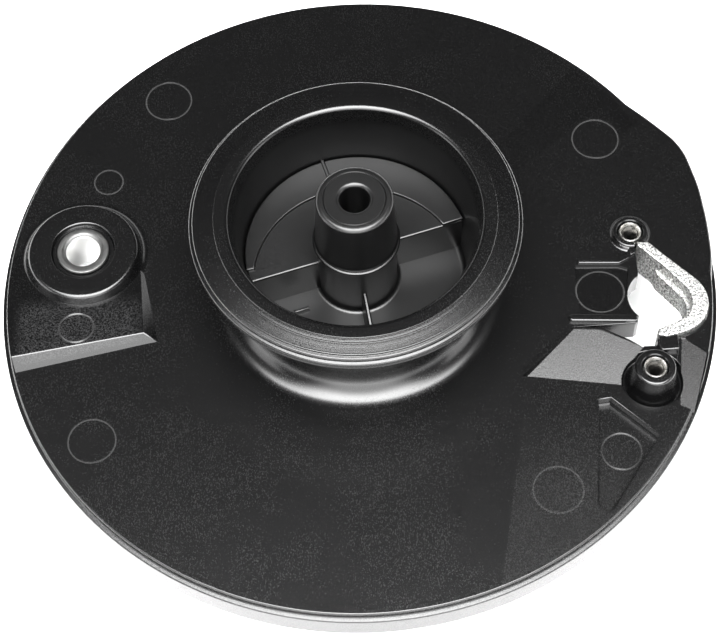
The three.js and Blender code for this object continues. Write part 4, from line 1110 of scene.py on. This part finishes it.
# ---- drum
def rope_drum():
    low, high = DRUM_LOW.z, DRUM_HIGH.z
    bush = span("drum_bush")[1].x + RUNNING_FIT
    deck = GROOVE_HIGH + 1.8
    web = low + 3.0
    inner = GROOVE_R - 2.5
    made = lathe("rope_drum_visual", [
        (bush, low + 0.3), (bush + 0.3, low), (bush + 3.2, low), (bush + 3.6, low + 0.5), (14.5, low + 0.5),
        (14.9, low), (26.0, low), (26.5, low + 0.5), (29.5, low + 0.5), (30.0, low),
        *arc(DRUM_R - 0.5, low + 0.5, 0.5, 270, 360, 4),
        *arc(DRUM_R - 0.5, GROOVE_LOW - 0.4, 0.4, 0, 90, 3), (GROOVE_R + 1.2, GROOVE_LOW),
        *arc(GROOVE_R + 1.2, GROOVE_LOW + 1.2, 1.2, 270, 180, 4),
        *arc(GROOVE_R + 1.2, GROOVE_HIGH - 1.2, 1.2, 180, 90, 4),
        *arc(DRUM_R - 0.4, GROOVE_HIGH + 0.4, 0.4, 270, 360, 3),
        *arc(DRUM_R - 0.5, deck - 0.5, 0.5, 0, 90, 4), (inner + 0.4, deck), (inner, deck - 0.4),
        (inner, web + 0.8), *arc(inner - 0.8, web + 0.8, 0.8, 0, -90, 3),
        *arc(HUB_R + 0.8, web + 0.8, 0.8, 270, 180, 3), (HUB_R, high - 0.4), (HUB_R - 0.4, high),
        (bush + 0.3, high), (bush, high - 0.3)], FINE)
    rib = block("drum_rib", oblong(HUB_R - 0.5, inner + 0.5, 0.8), web - 0.3, deck - 1.2, 0.35)
    ribs = round_the_axis("drum_ribs", rib, 8, 22.5, 45, material=GREY)
    pivots = [at(PIVOT_R, turn) for turn in PAWL_TURNS]
    boss_top = deck - 1.8
    boss = [(0, low), (3.7, low), (4, low + 0.3), (4, boss_top - 0.3), (3.7, boss_top), (0, boss_top)]
    bosses = [lathe(f"pin_boss_{i}", boss, SMALL, place) for i, place in enumerate(pivots)]
    bores = [rod(f"pin_bore_{i}", 2.1, low - 1, deck, place) for i, place in enumerate(pivots)]
    joined(made, ribs, *bosses)
    pocket = block("drum_pocket", softened(sector(17.5, 24.0, -11, 11, 8), 1.2, 3), low - 1, low + 1.1, 0.2)
    pockets = round_the_axis("drum_pockets", pocket, 6, 30, 60, material=GREY)
    rope_hole = lathe("rope_hole", [(0, -5), (2.7, -5), (2.7, 3), (3.4, 4), (3.4, 6), (0, 6)], SMALL)
    along = shift((GROOVE_R - 2.0, 0), (GROOVE_LOW + GROOVE_HIGH) / 2)
    rope_hole.data.transform(rotation(40) @ along @ rotation(90, "Y"))
    cut(made, *bores, pockets, rope_hole)
    finished(made, "drum", GREY)


def drum_bush():
    low, high = span("drum_bush")
    bore = SPINDLE_R + RUNNING_FIT
    made = lathe("drum_bush_visual", [
        (bore + 0.35, low.z), (high.x - 0.35, low.z), (high.x, low.z + 0.35), (high.x, high.z - 0.35),
        (high.x - 0.35, high.z), (bore + 0.35, high.z), (bore, high.z - 0.35), (bore, low.z + 0.35)],
        MEDIUM)
    finished(made, "drum", BRONZE)


# ---- pawls and friction plate
def peg_place(share):
    """Where a pawl's peg is on the friction plate when the plate has turned by a share of its range."""
    sine, cosine = math.sin(math.radians(SWING * share)), math.cos(math.radians(SWING * share))
    x, y = PIVOT_R + PEG[0] * cosine - PEG[1] * sine, PEG[0] * sine + PEG[1] * cosine
    return at(math.hypot(x, y), math.degrees(math.atan2(y, x)) - FRICTION_TURN * share)


def slot_outline(points, half):
    """A rounded slot along a run of points."""
    sides = []
    for run in (points, points[::-1]):
        edge = offset_run(run, -half)
        (ax, ay), (bx, by) = run[-2], run[-1]
        heading = math.degrees(math.atan2(by - ay, bx - ax))
        sides += edge[:-1] + arc(bx, by, half, heading - 90, heading + 80, 8)
    return sides


def friction_plate():
    low, high = span("friction_plate")
    bore, outer = SPINDLE_R + RUNNING_FIT, high.x
    made = lathe("friction_plate_visual", [
        (bore, low.z + 0.15), (bore + 0.15, low.z), (10.4, low.z), (10.8, low.z + 0.22),
        (14.8, low.z + 0.22), (15.2, low.z), *arc(outer - 0.3, low.z + 0.3, 0.3, 270, 360, 3),
        *arc(outer - 0.15, high.z - 0.15, 0.15, 0, 90, 2), (bore + 0.15, high.z), (bore, high.z - 0.15)],
        FINE)
    stations = [peg_place(i / 8) for i in range(9)]
    slots = []
    for i, turn in enumerate(PAWL_TURNS):
        slot = hollow(f"cam_slot_{i}", slot_outline(stations, 1.75), low.z - 1, high.z + 1, SHARP)
        slot.data.transform(rotation(turn))
        slots.append(slot)
    hole = rod("plate_hole", 1.5, low.z - 1, high.z + 1, (22.5, 0))
    cut(made, *slots, round_the_axis("plate_holes", hole, 2, 0, 180, material=SHEET))
    finished(made, "friction_plate", SHEET)


def friction_spring():
    low, high = span("friction_spring")
    wire = 0.55
    rise = high.z - low.z - 2 * wire
    made = wound("friction_spring_visual", 2.5, 6.6, 6.6, low.z + wire, rise, SPRING, wire=wire - 0.02)
    finished(made, "drum", SPRING, crease=60)


def pawl_set(number, turn):
    """A pawl with its peg, its pin and its return spring."""
    low, high = span(f"pawl_{number}")
    base = high.z - 4.0
    outline = [*arc(0, 0, 4, -20, 200, 18), (-4.3, -7), (-4.6, -12.6), (-3, -16), (0.5, -16.5), (2.6, -12.5)]
    pawl = block(f"pawl_{number}_visual", softened(outline, 0.5, 2), base, high.z, 0.4, 0.4)
    tip = [(-3.2, -12.8), (-2.4, -15.2), (0.2, -15.6), (1.6, -12.6)]
    step = block("pawl_step", softened(tip, 0.5, 3), base - 1, base + 0.5, 0.2)
    bore = lathe("pawl_bore", [
        (0, base - 1), (2.5, base - 1), (2.5, base), (2.1, base + 0.4), (2.1, high.z + 1), (0, high.z + 1)],
        SMALL)
    cut(pawl, step, bore)
    joined(pawl, lathe("peg", [
        (0, low.z), (1.0, low.z), (1.3, low.z + 0.3), (1.3, base + 1), (0, base + 1)], SMALL, PEG))
    pin_low, pin_high = span(f"pawl_pin_{number}")
    pin = lathe(f"pawl_pin_{number}_visual", [
        (0, pin_low.z + 0.1), (0.5, pin_low.z), (1.4, pin_low.z), (1.8, pin_low.z + 0.4),
        (1.8, pin_high.z - 0.4), (1.4, pin_high.z), (0, pin_high.z)], SMALL)
    spring_low, spring_high = span(f"pawl_spring_{number}")
    wire = 0.35
    rise = spring_high.z - spring_low.z - 2 * wire
    coil_r, start = 2.7, spring_low.z + wire
    coil = wound(f"pawl_spring_{number}_visual", 0.8, coil_r, coil_r, start, rise, SPRING, wire=wire - 0.01)
    section = arc(0, 0, wire - 0.01, 0, 330, 11)
    leg = loft("leg", [[(coil_r + dx, y, start + dz) for dx, dz in section] for y in (-5.0, -2.5, 0.05)])
    joined(coil, leg)
    put = rotation(turn) @ shift((PIVOT_R, 0))
    for part in (pawl, pin, coil):
        part.data.transform(put)
    finished(pawl, f"pawl_{number}", SINTERED, crease=40)
    finished(pin, "drum", PLATED)
    finished(coil, "drum", SPRING, crease=60)


for make_piece in (
        housing, mount_bush, rope_guide, spindle, centre_screw, washers, spring_cassette, recoil_spring,
        spring_cover, cover_screws, rope_drum, drum_bush, friction_plate, friction_spring):
    make_piece()
insert("upper_insert", UPPER, UPPER_STEEL)
insert("lower_insert", LOWER, LOWER_STEEL)
for number, turn in enumerate(PAWL_TURNS, 1):
    pawl_set(number, turn)


# ---- floor, lights and camera
def camera():
    """A long lens in front of the part and above it, looking down and turned a little on its axis."""
    data = bpy.data.cameras.new("camera")
    data.lens = 100
    data.sensor_width = 36
    data.clip_start, data.clip_end = 0.01, 20
    made = bpy.data.objects.new("camera", data)
    bpy.context.scene.collection.objects.link(made)
    place = shift(CAMERA_PLACE, CAMERA_HEIGHT)
    made.matrix_world = place @ rotation(90 - CAMERA_ELEVATION, "X") @ rotation(CAMERA_ROLL)
    bpy.context.scene.camera = made


def softbox(name, place, target=(0, 0, 0.04), width=0.5, height=0.6, power=3):
    """A rectangular lamp that looks at the target; sizes in metres, power in watts."""
    data = bpy.data.lights.new(name, "AREA")
    data.shape = "RECTANGLE"
    data.size, data.size_y = width, height
    data.energy = power
    made = bpy.data.objects.new(name, data)
    made.location = place
    made.rotation_euler = (Vector(target) - Vector(place)).to_track_quat("-Z", "Y").to_euler()
    bpy.context.scene.collection.objects.link(made)


def studio_sky():
    """A wide bright part from overhead to the front, a dark back, and a weaker band round the horizon."""
    world = bpy.data.worlds.new("studio")
    bpy.context.scene.world = world
    world.use_nodes = True
    world.node_tree.nodes.clear()
    sky = Graph(world.node_tree)
    direction = sky.node("ShaderNodeTexCoord", out="Generated")
    side, across, height = sky.split(direction)
    low_front = 0.25 + across.over(-0.88, -0.45) * 0.75
    front = (1 - across.over(0.04, 0.15)) * (1 - (side * side).over(0.06, 0.32)) * low_front
    horizon = 1 - height.over(0.08, 0.26)
    strength = 0.05 + front * 20.0 + horizon * (1 - front) * 2.6
    shade = sky.node("ShaderNodeBackground", None, (1, 1, 1, 1), strength)
    sky.node("ShaderNodeOutputWorld", None, shade)


def surroundings():
    """A pale floor just under the part, and a softbox at each side."""
    size = 6000
    floor = solid("floor", level(oblong(-size, size, size), -0.4), [(0, 1, 2, 3)])
    look = Look("floor")
    spread = look.noise(300, detail=1)
    tone = look.blend(spread * 0.1, (0.9, 0.9, 0.9), (0.87, 0.87, 0.87))
    floor.data.materials.append(look.done(Base_Color=tone, Roughness=0.7 + spread * 0.05))
    studio_sky()
    for name, side in (("left", -1.1), ("right", 1.1)):
        softbox(name, (side, -0.3, 0.45))


surroundings()
camera()
bpy.context.scene.view_settings.view_transform = "Standard"
